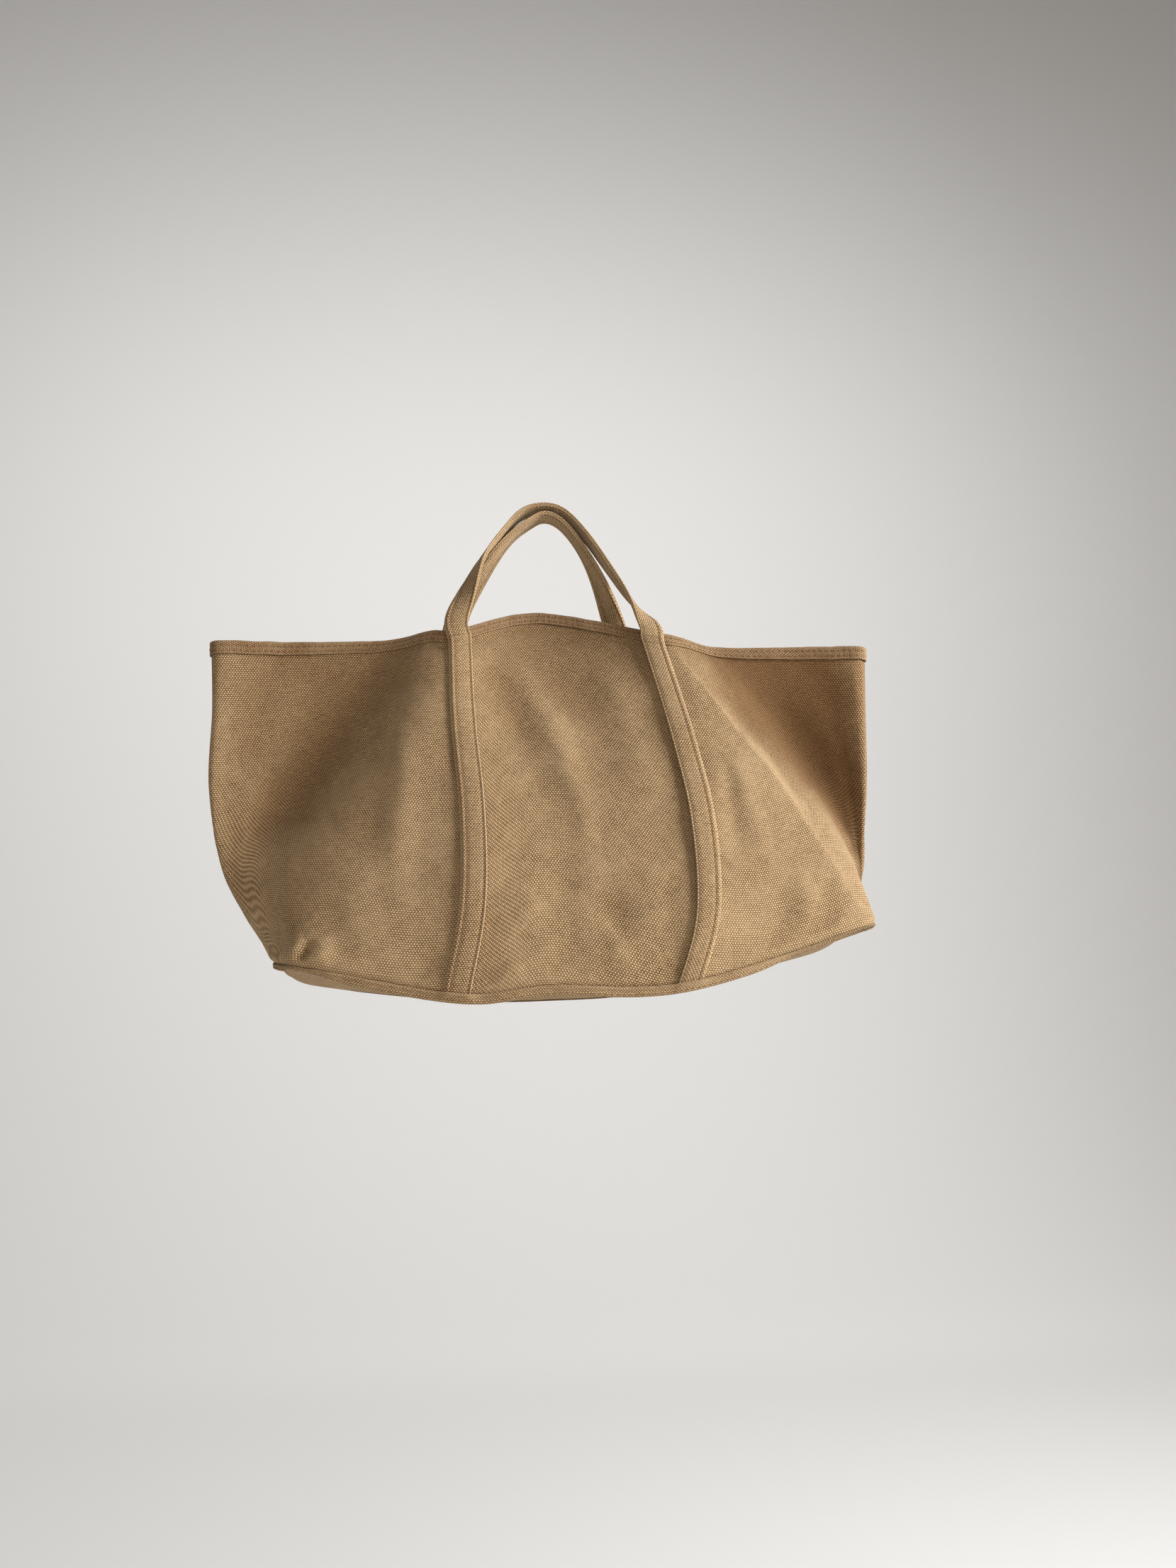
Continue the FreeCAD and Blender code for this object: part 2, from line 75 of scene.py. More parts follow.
# Columns of the front panel from the left side seam to the right one, in five steps of
# (across, forward, down): across in half mouth widths, forward in base depths from the
# side seams' plane, down in bag drops below the rim.
LEFT_SEAM = [(-0.975, 0.20, 0.03), (-0.957, 0.25, 0.22), (-0.948, 0.29, 0.45),
             (-0.885, 0.33, 0.68), (-0.735, 0.43, 0.90)]
LEFT_SIDE = [(-0.75, 0.15, 0.02), (-0.80, 0.19, 0.24), (-0.85, 0.26, 0.47),
             (-0.845, 0.37, 0.68), (-0.73, 0.53, 0.91)]
LEFT_VALLEY = [(-0.47, 0.14, 0.01), (-0.61, 0.15, 0.27), (-0.715, 0.21, 0.48),
               (-0.77, 0.44, 0.69), (-0.69, 0.66, 0.92)]
LEFT_RIDGE = [(-0.34, 0.26, 0.00), (-0.38, 0.43, 0.25), (-0.47, 0.58, 0.49),
              (-0.58, 0.73, 0.74), (-0.64, 0.83, 0.93)]
LEFT_STRAP = [(-0.267, 0.285, 0.00), (-0.247, 0.475, 0.28), (-0.213, 0.69, 0.545),
              (-0.207, 0.875, 0.79), (-0.247, 0.91, 1.00)]
FRONT_MIDDLE = [(-0.027, 0.08, -0.085), (-0.017, 0.34, 0.22), (-0.013, 0.615, 0.505),
                (-0.013, 0.85, 0.78), (-0.02, 0.925, 0.985)]
RIGHT_STRAP = [(0.313, 0.285, 0.00), (0.373, 0.475, 0.28), (0.407, 0.69, 0.55),
               (0.397, 0.885, 0.795), (0.34, 0.91, 0.98)]
RIGHT_RIDGE = [(0.395, 0.25, 0.01), (0.515, 0.41, 0.25), (0.65, 0.52, 0.45),
               (0.768, 0.63, 0.655), (0.826, 0.74, 0.845)]
RIGHT_VALLEY = [(0.51, 0.14, 0.02), (0.68, 0.12, 0.22), (0.79, 0.19, 0.42),
                (0.853, 0.37, 0.63), (0.85, 0.57, 0.835)]
RIGHT_SIDE = [(0.76, 0.15, 0.02), (0.835, 0.17, 0.22), (0.88, 0.22, 0.43),
              (0.883, 0.32, 0.645), (0.858, 0.46, 0.825)]
RIGHT_SEAM = [(0.97, 0.21, 0.03), (0.952, 0.25, 0.22), (0.934, 0.28, 0.43),
              (0.90, 0.31, 0.63), (0.858, 0.385, 0.81)]

# Columns of the back panel between the same two seams.
BACK_LEFT = [(-0.70, 0.03, 0.01), (-0.73, 0.02, 0.235), (-0.75, 0.01, 0.455),
             (-0.745, -0.02, 0.69), (-0.67, -0.045, 0.935)]
BACK_LEFT_STRAP = [(-0.287, -0.055, 0.00), (-0.307, -0.07, 0.25), (-0.317, -0.077, 0.50),
                   (-0.30, -0.077, 0.75), (-0.287, -0.06, 0.98)]
BACK_MIDDLE = [(-0.02, -0.02, -0.01), (-0.017, -0.06, 0.25), (-0.01, -0.077, 0.50),
               (0.0, -0.077, 0.75), (0.0, -0.065, 0.985)]
BACK_RIGHT_STRAP = [(0.24, -0.055, 0.00), (0.273, -0.07, 0.25), (0.293, -0.077, 0.50),
                    (0.30, -0.077, 0.745), (0.307, -0.06, 0.965)]
BACK_RIGHT = [(0.69, 0.03, 0.01), (0.73, 0.02, 0.235), (0.77, 0.01, 0.455),
              (0.79, -0.02, 0.675), (0.773, -0.045, 0.87)]

# Middle line of each handle from the left rim to the right rim: (across in half mouth
# widths, rise as a share of the rim's drop, twist in degrees, lean to the top's depth).
FRONT_HANDLE = [(-0.267, 0.00, 0, 0.00), (-0.264, 0.09, 0, 0.10), (-0.246, 0.23, 18, 0.28),
                (-0.222, 0.39, 48, 0.45), (-0.189, 0.58, 72, 0.65), (-0.125, 0.80, 84, 0.88),
                (-0.066, 0.957, 90, 1.00), (0.003, 1.00, 90, 1.00), (0.064, 0.955, 90, 1.00),
                (0.130, 0.78, 90, 0.95), (0.190, 0.55, 92, 0.80), (0.246, 0.31, 100, 0.55),
                (0.281, 0.16, 128, 0.32), (0.300, 0.075, 165, 0.14), (0.313, 0.00, 180, 0.00)]
BACK_HANDLE = [(-0.287, 0.00, 0, 0.00), (-0.282, 0.10, 8, 0.12), (-0.256, 0.30, 30, 0.36),
               (-0.205, 0.50, 58, 0.57), (-0.145, 0.71, 78, 0.81), (-0.094, 0.85, 88, 0.96),
               (-0.041, 0.947, 90, 1.00), (0.000, 1.00, 90, 1.00), (0.047, 0.955, 90, 1.00),
               (0.096, 0.82, 92, 0.96), (0.140, 0.65, 102, 0.83), (0.178, 0.46, 122, 0.60),
               (0.208, 0.27, 150, 0.33), (0.230, 0.11, 172, 0.12), (0.240, 0.00, 180, 0.00)]

# How blunt the side edges are, and how far the cloth and the straps tuck in at the base.
EDGE_SHARE = 0.16
EDGE_BULGE = 4.5 * MM
FOOT_TUCK = 2.6 * MM
STRAP_TUCK = 4.2 * MM
TAPE_EDGE_SHARE = 0.045

# The listed fold heights are scaled by this.
FOLD_DEPTH = 0.9

# Stitch rows, in millimetres: below the rim's top, and beside the strap's middle line.
RIM_STITCH_DROPS = (8.0, 3.1)
STRAP_STITCHES = (8.2, -5.4)

# The tape's section about its middle: its outer face and how deep the stitches sit in it.
TAPE_MIDDLE = 0.75
TAPE_FACE = 3.05
TAPE_STITCH_DEPTH = 0.15

# Places across each panel, counted in columns.
STRAP_COLUMNS = {"front": (5.0, 7.0), "back": (3.0, 5.0)}
LAST_COLUMN = {"front": 12.0, "back": 8.0}
CORNER_COLUMNS = {"front": (4.0, 8.0), "back": (2.0, 6.0)}
BASE_SEAM_COLUMNS = {"front": (4.3, 7.7), "back": (2.3, 5.7)}


# ---------------------------------------------------------------- small mathematics

def unit(vectors):
    length = np.linalg.norm(vectors, axis=-1, keepdims=True)
    return vectors / np.maximum(length, 1e-12)


def smooth_step(value, low, high):
    share = np.clip((value - low) / (high - low), 0.0, 1.0)
    return share * share * (3 - 2 * share)


def along(points, share):
    """A smooth line through points, (k, 3) or one line per share (k, n, 3)."""
    last = len(points) - 1
    place = np.clip(share, 0.0, 1.0) * last
    index = np.minimum(place.astype(int), last - 1)
    t = (place - index)[:, None]
    row = np.arange(len(index))

    def pick(which):
        return points[which] if points.ndim == 2 else points[which, row]

    start = pick(index)
    end = pick(index + 1)
    before = np.where((index > 0)[:, None], pick(np.maximum(index - 1, 0)), 2 * start - end)
    after = np.where((index + 2 <= last)[:, None], pick(np.minimum(index + 2, last)),
                     2 * end - start)
    slope_start = (end - before) * 0.5
    slope_end = (after - start) * 0.5
    square = t * t
    cube = square * t
    return (start * (2 * cube - 3 * square + 1) + slope_start * (cube - 2 * square + t)
            + end * (3 * square - 2 * cube) + slope_end * (cube - square))


def lengths_along(points):
    """Distance along a polyline to each of its points."""
    steps = np.linalg.norm(np.diff(points, axis=0), axis=1)
    return np.concatenate([[0.0], np.cumsum(steps)])


def resample(places, values, new_places):
    """Columns of values, known at places, read at new places."""
    return np.stack([np.interp(new_places, places, column) for column in values.T], axis=1)


def soften(values, spread, closed=False):
    """Blur an (n, k) run of values with a Gaussian of spread steps."""
    reach = int(math.ceil(spread * 3))
    weights = np.exp(-0.5 * (np.arange(-reach, reach + 1) / spread) ** 2)
    weights /= weights.sum()
    if closed:
        padded = np.concatenate([values[-reach:], values, values[:reach]])
    else:
        head = 2 * values[:1] - values[reach:0:-1]
        tail = 2 * values[-1:] - values[-2:-reach - 2:-1]
        padded = np.concatenate([head, values, tail])
    columns = [np.convolve(column, weights, mode="valid") for column in padded.T]
    return np.stack(columns, axis=1)


def ripple(places, wavelength, seed, waves=28):
    """Smooth seeded noise about -1 to 1 over 2-D places."""
    rng = np.random.default_rng(seed)
    turn = rng.uniform(0, 2 * math.pi, waves)
    number = 2 * math.pi / (wavelength * rng.uniform(0.6, 1.7, waves))
    phase = rng.uniform(0, 2 * math.pi, waves)
    total = np.zeros(len(places))
    for angle, rate, start in zip(turn, number, phase):
        total += np.sin(rate * (places[:, 0] * math.cos(angle) + places[:, 1] * math.sin(angle))
                        + start)
    return total / math.sqrt(waves) / 1.4


# ---------------------------------------------------------------- the cloth surfaces

class Shell:
    """The bag's two cloth surfaces, addressed by column and by share of the drop."""

    def __init__(self):
        front = [LEFT_SEAM, LEFT_SIDE, LEFT_VALLEY, LEFT_RIDGE, LEFT_STRAP, FRONT_MIDDLE,
                 RIGHT_STRAP, RIGHT_RIDGE, RIGHT_VALLEY, RIGHT_SIDE, RIGHT_SEAM]
        back = [LEFT_SEAM, BACK_LEFT, BACK_LEFT_STRAP, BACK_MIDDLE, BACK_RIGHT_STRAP,
                BACK_RIGHT, RIGHT_SEAM]
        self.columns = {"front": [self.column(line) for line in front],
                        "back": [self.column(line) for line in back]}
        self.outward = {"front": 1.0, "back": -1.0}
        self.scale = np.ones(3)
        self.shift = np.zeros(3)

    @staticmethod
    def column(line):
        across, forward, down = np.array(line, float).T
        return np.stack([across * HALF_MOUTH, SEAM_PLANE - forward * BASE_DEPTH,
                         -RIM_DROP - down * BAG_DROP], axis=1)

    def fit(self, low, high):
        """Scale and shift the surfaces so that the front panel fills its box."""
        column, share = np.meshgrid(np.linspace(0, LAST_COLUMN["front"], 201), np.linspace(0, 1, 61))
        outer = self.offset("front", column.ravel(), share.ravel(), CLOTH_THICK)
        inner = self.point("front", column.ravel(), share.ravel())
        both = np.concatenate([outer, inner])
        own_low, own_high = both.min(0), both.max(0)
        self.scale = (np.array(high) - np.array(low)) / (own_high - own_low)
        self.shift = np.array(low) - own_low * self.scale

    def point(self, side, column, share):
        points = [along(line, share) for line in self.columns[side]]
        bulge = (EDGE_BULGE * (1 - share))[:, None] * self.outward[side]
        left = self.edge_point(points[0], points[1], -bulge)
        right = self.edge_point(points[-1], points[-2], bulge)
        row = np.stack([points[0], left] + points[1:-1] + [right, points[-1]])
        return along(row, column / (len(row) - 1)) * self.scale + self.shift

    @staticmethod
    def edge_point(seam, inner, bulge):
        """A point just inside a seam, pushed out so that the edge is blunt."""
        chord = inner - seam
        level = unit(chord * [1, 1, 0])
        sideways = np.stack([-level[:, 1], level[:, 0], level[:, 2] * 0], axis=1)
        return seam + chord * EDGE_SHARE + sideways * bulge

    def frame(self, side, column, share):
        """Point, direction across, direction down and outward normal."""
        column = np.asarray(column, float)
        share = np.asarray(share, float)
        small_column = 0.05
        small_share = 0.01
        last = LAST_COLUMN[side]
        left = self.point(side, np.maximum(column - small_column, 0), share)
        right = self.point(side, np.minimum(column + small_column, last), share)
        above = self.point(side, column, np.maximum(share - small_share, 0))
        below = self.point(side, column, np.minimum(share + small_share, 1))
        across = unit(right - left)
        down = unit(below - above)
        normal = unit(np.cross(down, across)) * self.outward[side]
        return self.point(side, column, share), across, down, normal

    def offset(self, side, column, share, distance):
        place, _, _, normal = self.frame(side, column, share)
        return place + normal * distance

    def column_beside(self, side, column, share, distance):
        """The column a given distance to the right along the cloth."""
        step = 0.05
        span = self.point(side, column + step, share) - self.point(side, column - step, share)
        return column + distance * 2 * step / np.linalg.norm(span, axis=1)

    def even_columns(self, side, count, share=0.5):
        """Columns that lie evenly spaced along the cloth at one height."""
        fine = np.linspace(0, LAST_COLUMN[side], 401)
        run = lengths_along(self.point(side, fine, np.full(401, share)))
        return np.interp(np.linspace(0, run[-1], count), run, fine)


# ---------------------------------------------------------------- folds in the cloth

# Folds of a panel as seen from the front: points (across in half mouth widths, down in bag
# drops), half width and height in millimetres, and how round the crest is (2 round, 1 sharp).
FRONT_FOLDS = [
    # the taut ridge down to the right bottom corner, and the hollow behind it
    ([(0.364, 0.05), (0.50, 0.25), (0.62, 0.43), (0.725, 0.61), (0.83, 0.82)], 6, 4.2, 1.1),
    ([(0.47, 0.10), (0.60, 0.28), (0.71, 0.48), (0.79, 0.67)], 13, -4.0, 2.0),
    ([(0.60, 0.12), (0.73, 0.28), (0.80, 0.44)], 24, -3.0, 2.0),
    # the left hollow, which turns out to the side seam
    ([(-0.375, 0.10), (-0.535, 0.21), (-0.67, 0.39), (-0.75, 0.49)], 20, -1.5, 2.0),
    ([(-0.64, 0.505), (-0.76, 0.53), (-0.89, 0.575)], 14, -2.5, 2.0),
    ([(-0.58, 0.61), (-0.72, 0.65), (-0.82, 0.71)], 20, 2.5, 2.0),
    # slack between the two straps
    ([(-0.17, 0.09), (-0.105, 0.24), (-0.03, 0.50)], 13, -2.8, 2.0),
    ([(-0.12, 0.06), (-0.015, 0.24), (0.07, 0.50), (0.10, 0.63)], 12, 3.2, 2.0),
    ([(0.06, 0.07), (0.115, 0.27), (0.175, 0.51)], 16, -2.4, 2.0),
    ([(0.18, 0.08), (0.22, 0.275), (0.267, 0.47)], 14, 2.0, 2.0),
    ([(-0.04, 0.61), (-0.06, 0.74), (-0.09, 0.87)], 14, 2.0, 2.0),
    ([(0.036, 0.65), (0.026, 0.80), (0.054, 0.92)], 13, -2.0, 2.0),
    ([(-0.155, 0.975), (-0.093, 0.933), (0.009, 0.874)], 8, 2.6, 1.6),
    ([(0.11, 0.816), (0.15, 0.886), (0.197, 0.958)], 9, 2.6, 1.6),
    ([(0.123, 0.746), (0.141, 0.833), (0.12, 0.91)], 12, -2.6, 2.0),
    ([(0.289, 0.71), (0.293, 0.82), (0.262, 0.904)], 12, -2.8, 2.0),
    # left of the left strap
    ([(-0.39, 0.26), (-0.397, 0.41), (-0.407, 0.67), (-0.388, 0.81)], 12, 2.2, 2.0),
    ([(-0.47, 0.25), (-0.477, 0.49), (-0.518, 0.70)], 14, -2.2, 2.0),
    ([(-0.486, 0.61), (-0.514, 0.77), (-0.47, 0.895)], 13, 2.2, 2.0),
    # right of the right strap
    ([(0.456, 0.37), (0.454, 0.515), (0.444, 0.67)], 10, 2.0, 2.0),
    ([(0.487, 0.37), (0.494, 0.515), (0.502, 0.67)], 7, -1.8, 2.0),
    ([(0.504, 0.37), (0.539, 0.515), (0.58, 0.68)], 11, 2.4, 2.0),
    ([(0.61, 0.71), (0.608, 0.81), (0.542, 0.89)], 11, -2.0, 2.0),
    ([(0.655, 0.69), (0.664, 0.80), (0.605, 0.887)], 9, 1.6, 1.6),
    ([(0.728, 0.72), (0.728, 0.806), (0.668, 0.87)], 9, -1.8, 2.0),
    ([(0.58, 0.92), (0.68, 0.882), (0.78, 0.825)], 7, 3.0, 1.4),
    ([(0.67, 0.892), (0.748, 0.868), (0.81, 0.849)], 5, -2.0, 1.6),
    # the tuck at the left bottom corner and the pulls beside it
    ([(-0.622, 0.865), (-0.635, 0.893), (-0.653, 0.924)], 3.2, -5.0, 1.4),
    ([(-0.636, 0.86), (-0.658, 0.884), (-0.678, 0.915)], 6, 2.6, 1.8),
    ([(-0.596, 0.855), (-0.586, 0.888), (-0.604, 0.923)], 9, 3.2, 2.0),
    ([(-0.558, 0.943), (-0.476, 0.914), (-0.404, 0.894)], 8, 1.8, 1.8),
    ([(-0.391, 0.978), (-0.327, 0.947), (-0.297, 0.897)], 8, -2.0, 1.8),
]
BACK_FOLDS = [
    # taut lines from the straps out to the bottom corners, hollows beside them
    ([(-0.30, 0.05), (-0.44, 0.30), (-0.58, 0.62), (-0.66, 0.88)], 11, 4.4, 1.5),
    ([(0.28, 0.05), (0.42, 0.30), (0.60, 0.60), (0.74, 0.84)], 11, 4.4, 1.5),
    ([(-0.50, 0.12), (-0.64, 0.35), (-0.74, 0.60)], 18, -4.0, 2.0),
    ([(0.50, 0.12), (0.64, 0.36), (0.76, 0.62)], 18, -4.0, 2.0),
    # slack between and beside the straps
    ([(-0.14, 0.08), (-0.07, 0.35), (-0.10, 0.70)], 15, -3.2, 2.0),
    ([(0.09, 0.08), (0.05, 0.40), (0.11, 0.78)], 13, 3.6, 2.0),
    ([(0.20, 0.15), (0.19, 0.45), (0.22, 0.72)], 12, -2.6, 2.0),
    ([(-0.40, 0.52), (-0.46, 0.76), (-0.40, 0.94)], 11, -3.2, 2.0),
    ([(0.40, 0.52), (0.47, 0.75), (0.42, 0.93)], 11, 3.2, 2.0),
    ([(-0.20, 0.84), (-0.04, 0.90), (0.13, 0.85)], 9, 2.8, 1.8),
]


def fold_heights(places, folds):
    """Height of the folds at places (across, down) of the flat front view, in metres."""
    total = np.zeros(len(places))
    scale = np.array([HALF_MOUTH, BAG_DROP])
    spots = places * scale
    for points, half_width, height, roundness in folds:
        line = along(np.array(points) * scale, np.linspace(0, 1, 25))
        starts, ends = line[:-1], line[1:]
        best = np.full(len(spots), 1e9)
        travel = np.zeros(len(spots))
        for index, (start, end) in enumerate(zip(starts, ends)):
            step = end - start
            share = np.clip((spots - start) @ step / (step @ step), 0, 1)
            gap = np.linalg.norm(spots - start - share[:, None] * step, axis=1)
            nearer = gap < best
            best = np.where(nearer, gap, best)
            travel = np.where(nearer, (index + share) / len(starts), travel)
        taper = np.sin(np.clip(travel, 0, 1) * math.pi) ** 0.6
        total += FOLD_DEPTH * height * MM * taper * np.exp(-(best / (half_width * MM)) ** roundness)
    return total


class Cloth:
    """A panel's outside surface with its folds, on a grid of columns and shares."""

    def __init__(self, shell, side, folds, seed):
        self.shell = shell
        self.side = side
        self.folds = folds
        self.seed = seed

    def lift(self, column, share, place):
        """How far the folds push the cloth out along its normal."""
        view = np.stack([place[:, 0] / HALF_MOUTH, (-place[:, 2] - RIM_DROP) / BAG_DROP], axis=1)
        flat = view * [HALF_MOUTH, BAG_DROP]
        height = fold_heights(view, self.folds)
        height += 0.9 * MM * ripple(flat, 75 * MM, self.seed)
        height += 0.28 * MM * ripple(flat, 24 * MM, self.seed + 1)
        rim = smooth_step(share, 0.0, 0.09)
        foot = 1 - smooth_step(share, 0.96, 1.0)
        last = LAST_COLUMN[self.side]
        beside = np.minimum(column, last - column)
        under_tape = -0.7 * MM * np.exp(-((share - TAPE_EDGE_SHARE) / 0.007) ** 2)
        return height * rim * foot * smooth_step(beside, 0.0, 0.8) + under_tape

    def at(self, column, share, distance=0.0):
        """Places a distance outside the folded cloth's inner face."""
        place, _, _, normal = self.shell.frame(self.side, column, share)
        out = self.lift(column, share, place) + distance
        return place + normal * out[:, None]

    def frame(self, column, share, distance=0.0):
        """Place, direction across, direction down and normal on the folded cloth."""
        small_column = 0.03
        small_share = 0.006
        last = LAST_COLUMN[self.side]
        here = self.at(column, share, distance)
        left = self.at(np.maximum(column - small_column, 0), share, distance)
        right = self.at(np.minimum(column + small_column, last), share, distance)
        above = self.at(column, np.maximum(share - small_share, 0), distance)
        below = self.at(column, np.minimum(share + small_share, 1), distance)
        across = unit(right - left)
        down = unit(below - above)
        normal = unit(np.cross(down, across)) * self.shell.outward[self.side]
        return here, across, down, normal


# ---------------------------------------------------------------- meshes

def new_object(name, verts, faces, material, coordinates=None, relief=None):
    """A smooth-shaded mesh object with the cloth's flat coordinates and its relief, which carries
    wear and painted shade into the colour.
    """
    mesh = bpy.data.meshes.new(name)
    mesh.from_pydata([tuple(v) for v in verts], [], [tuple(f) for f in faces])
    mesh.validate()
    if coordinates is not None:
        flat = mesh.attributes.new("cloth", "FLOAT_VECTOR", "POINT")
        padded = np.zeros((len(verts), 3), np.float32)
        padded[:, :2] = coordinates
        flat.data.foreach_set("vector", padded.ravel())
    wear_and_shade = mesh.attributes.new("relief", "FLOAT", "POINT")
    values = np.zeros(len(verts)) if relief is None else relief
    wear_and_shade.data.foreach_set("value", np.asarray(values, np.float32))
    mesh.polygons.foreach_set("use_smooth", [True] * len(mesh.polygons))
    mesh.materials.append(material)
    mesh.update()
    piece = bpy.data.objects.new(name, mesh)
    bpy.context.scene.collection.objects.link(piece)
    return piece


def face_outward(faces, verts):
    """Turn every face round if the closed mesh is inside out."""
    quads = np.array(faces)
    a, b, c, d = (verts[quads[:, index]] for index in range(4))
    volume = (np.einsum("ij,ij->i", a, np.cross(b, c))
              + np.einsum("ij,ij->i", a, np.cross(c, d))).sum()
    return quads if volume > 0 else quads[:, ::-1]


def grid_faces(rows, columns, start=0, wrap=False):
    """Quads of a grid of rows by columns; wrap joins the last column to the first."""
    row = np.arange(rows - 1)[:, None]
    column = np.arange(columns if wrap else columns - 1)[None, :]
    following = (column + 1) % columns
    corners = [row * columns + column, row * columns + following,
               (row + 1) * columns + following, (row + 1) * columns + column]
    return np.stack([np.broadcast_to(c, (rows - 1, column.size)).ravel() for c in corners],
                    axis=1) + start


def closed_sheet(name, outer, inner, material, flat, relief):
    """A thin closed mesh between two grids (rows, columns, 3) of cloth."""
    rows, columns, _ = outer.shape
    count = rows * columns
    verts = np.concatenate([outer.reshape(-1, 3), inner.reshape(-1, 3)])
    outside = grid_faces(rows, columns)
    inside = grid_faces(rows, columns, count)[:, ::-1]
    index = np.arange(count).reshape(rows, columns)
    border = np.concatenate([index[0, :], index[1:, -1], index[-1, -2::-1], index[-2:0:-1, 0]])
    ahead = np.roll(border, -1)
    rim = np.stack([ahead, border, border + count, ahead + count], axis=1)
    faces = face_outward(np.concatenate([outside, inside, rim]), verts)
    return new_object(name, verts, faces, material, np.concatenate([flat, flat]),
                      np.concatenate([relief, relief * 0.5]))


def flat_coordinates(grid):
    """Distance along the cloth from the middle column and from the first row."""
    columns = grid.shape[1]
    across = np.stack([lengths_along(row) for row in grid])
    middle = across[:, columns // 2:columns // 2 + 1]
    down = np.stack([lengths_along(grid[:, index]) for index in range(columns)], axis=1)
    return np.stack([(across - middle).ravel(), down.ravel()], axis=1)


def grid_relief(grid, reach):
    """Convex (+) and concave (-) places of a grid, about -1 to 1, at one scale."""
    padded = np.pad(grid, ((reach, reach), (reach, reach), (0, 0)), mode="edge")
    rows, columns, _ = grid.shape
    around = sum(padded[reach + dy:reach + dy + rows, reach + dx:reach + dx + columns]
                 for dx, dy in ((reach, 0), (-reach, 0), (0, reach), (0, -reach))) / 4
    normal = unit(np.cross(np.gradient(grid, axis=0), np.gradient(grid, axis=1)))
    bend = np.einsum("ijk,ijk->ij", grid - around, normal)
    return np.clip(bend / (0.35 * MM * reach), -1, 1).ravel()


def swept(name, centres, widths, thicks, section, material, closed=False, lift=None,
          relief=None):
    """A mesh whose section (across, out) follows a line of frames."""
    stations = len(centres)
    sides = len(section)
    across = section[:, 0][None, :, None]
    out = section[:, 1][None, :, None]
    extra = 0.0 if lift is None else lift[:, :, None]
    verts = centres[:, None] + widths[:, None] * across + thicks[:, None] * (out + extra)
    around = lengths_along(np.concatenate([section, section[:1]]))[:sides]
    travelled = lengths_along(centres)
    flat = np.stack([np.broadcast_to(around, (stations, sides)).ravel(),
                     np.repeat(travelled, sides)], axis=1)
    verts = verts.reshape(-1, 3)
    faces = grid_faces(stations, sides, wrap=True)
    if closed:
        last = (stations - 1) * sides
        index = np.arange(sides)
        ahead = (index + 1) % sides
        joint = np.stack([last + index, last + ahead, ahead, index], axis=1)
        faces = np.concatenate([faces, joint])
    faces = list(face_outward(faces, verts))
    if not closed:
        order = 1 if np.array_equal(faces[0], grid_faces(2, sides, wrap=True)[0]) else -1
        faces.append(list(range(sides))[::-order])
        faces.append([(stations - 1) * sides + index for index in range(sides)][::order])
    return new_object(name, verts, faces, material, flat, relief)


# ---------------------------------------------------------------- stitches

def stitch_template(length, width, height):
    """One stitch: a flattened, bowed thread that dips into the cloth at both ends."""
    rings = 7
    sides = 6
    verts = []
    for step in np.linspace(-1, 1, rings):
        swell = math.sqrt(max(1 - abs(step) ** 2.6, 0.0)) * 0.85 + 0.15
        for angle in np.arange(sides) * 2 * math.pi / sides:
            verts.append((step * length / 2, math.cos(angle) * width / 2 * swell,
                          math.sin(angle) * height / 2 * swell + height * (0.25 - 0.5 * step ** 4)))
    faces = [list(face) for face in grid_faces(rings, sides, wrap=True)]
    faces.append(list(range(sides))[::-1])
    faces.append([(rings - 1) * sides + index for index in range(sides)])
    return np.array(verts), faces


def stitch_places(line, pitch):
    """Where stitches centre along a line, as distances."""
    total = lengths_along(line)[-1]
    count = max(int(total / pitch), 1)
    return (np.arange(count) + 0.5) * total / count


def sew(rows, material, name, pitch=4.6 * MM, share=0.66, width=0.62 * MM, height=0.42 * MM,
        seed=0):
    """Rows of stitches; each row is a line of places and a line of normals."""
    rng = np.random.default_rng(seed)
    template, template_faces = stitch_template(1.0, width, height)
    verts = []
    faces = []
    total = 0
    for line, normals in rows:
        run = lengths_along(line)
        centres = stitch_places(line, pitch)
        half = pitch * share / 2
        heads = resample(run, line, centres - half)
        tails = resample(run, line, centres + half)
        ups = unit(resample(run, normals, centres))
        for head, tail, up in zip(heads, tails, ups):
            way = tail - head
            length = np.linalg.norm(way)
            way = way / max(length, 1e-9)
            side = np.cross(up, way) + way * rng.normal(0, 0.05)
            side = side / np.linalg.norm(side)
            up = np.cross(way, side)
            local = template * [length, 1, 1]
            verts.append((head + tail) / 2 + local[:, :1] * way + local[:, 1:2] * side
                         + local[:, 2:] * up)
            faces.extend([[corner + total for corner in face] for face in template_faces])
            total += len(template)
    return new_object(name, np.concatenate(verts), faces, material)


# ---------------------------------------------------------------- materials

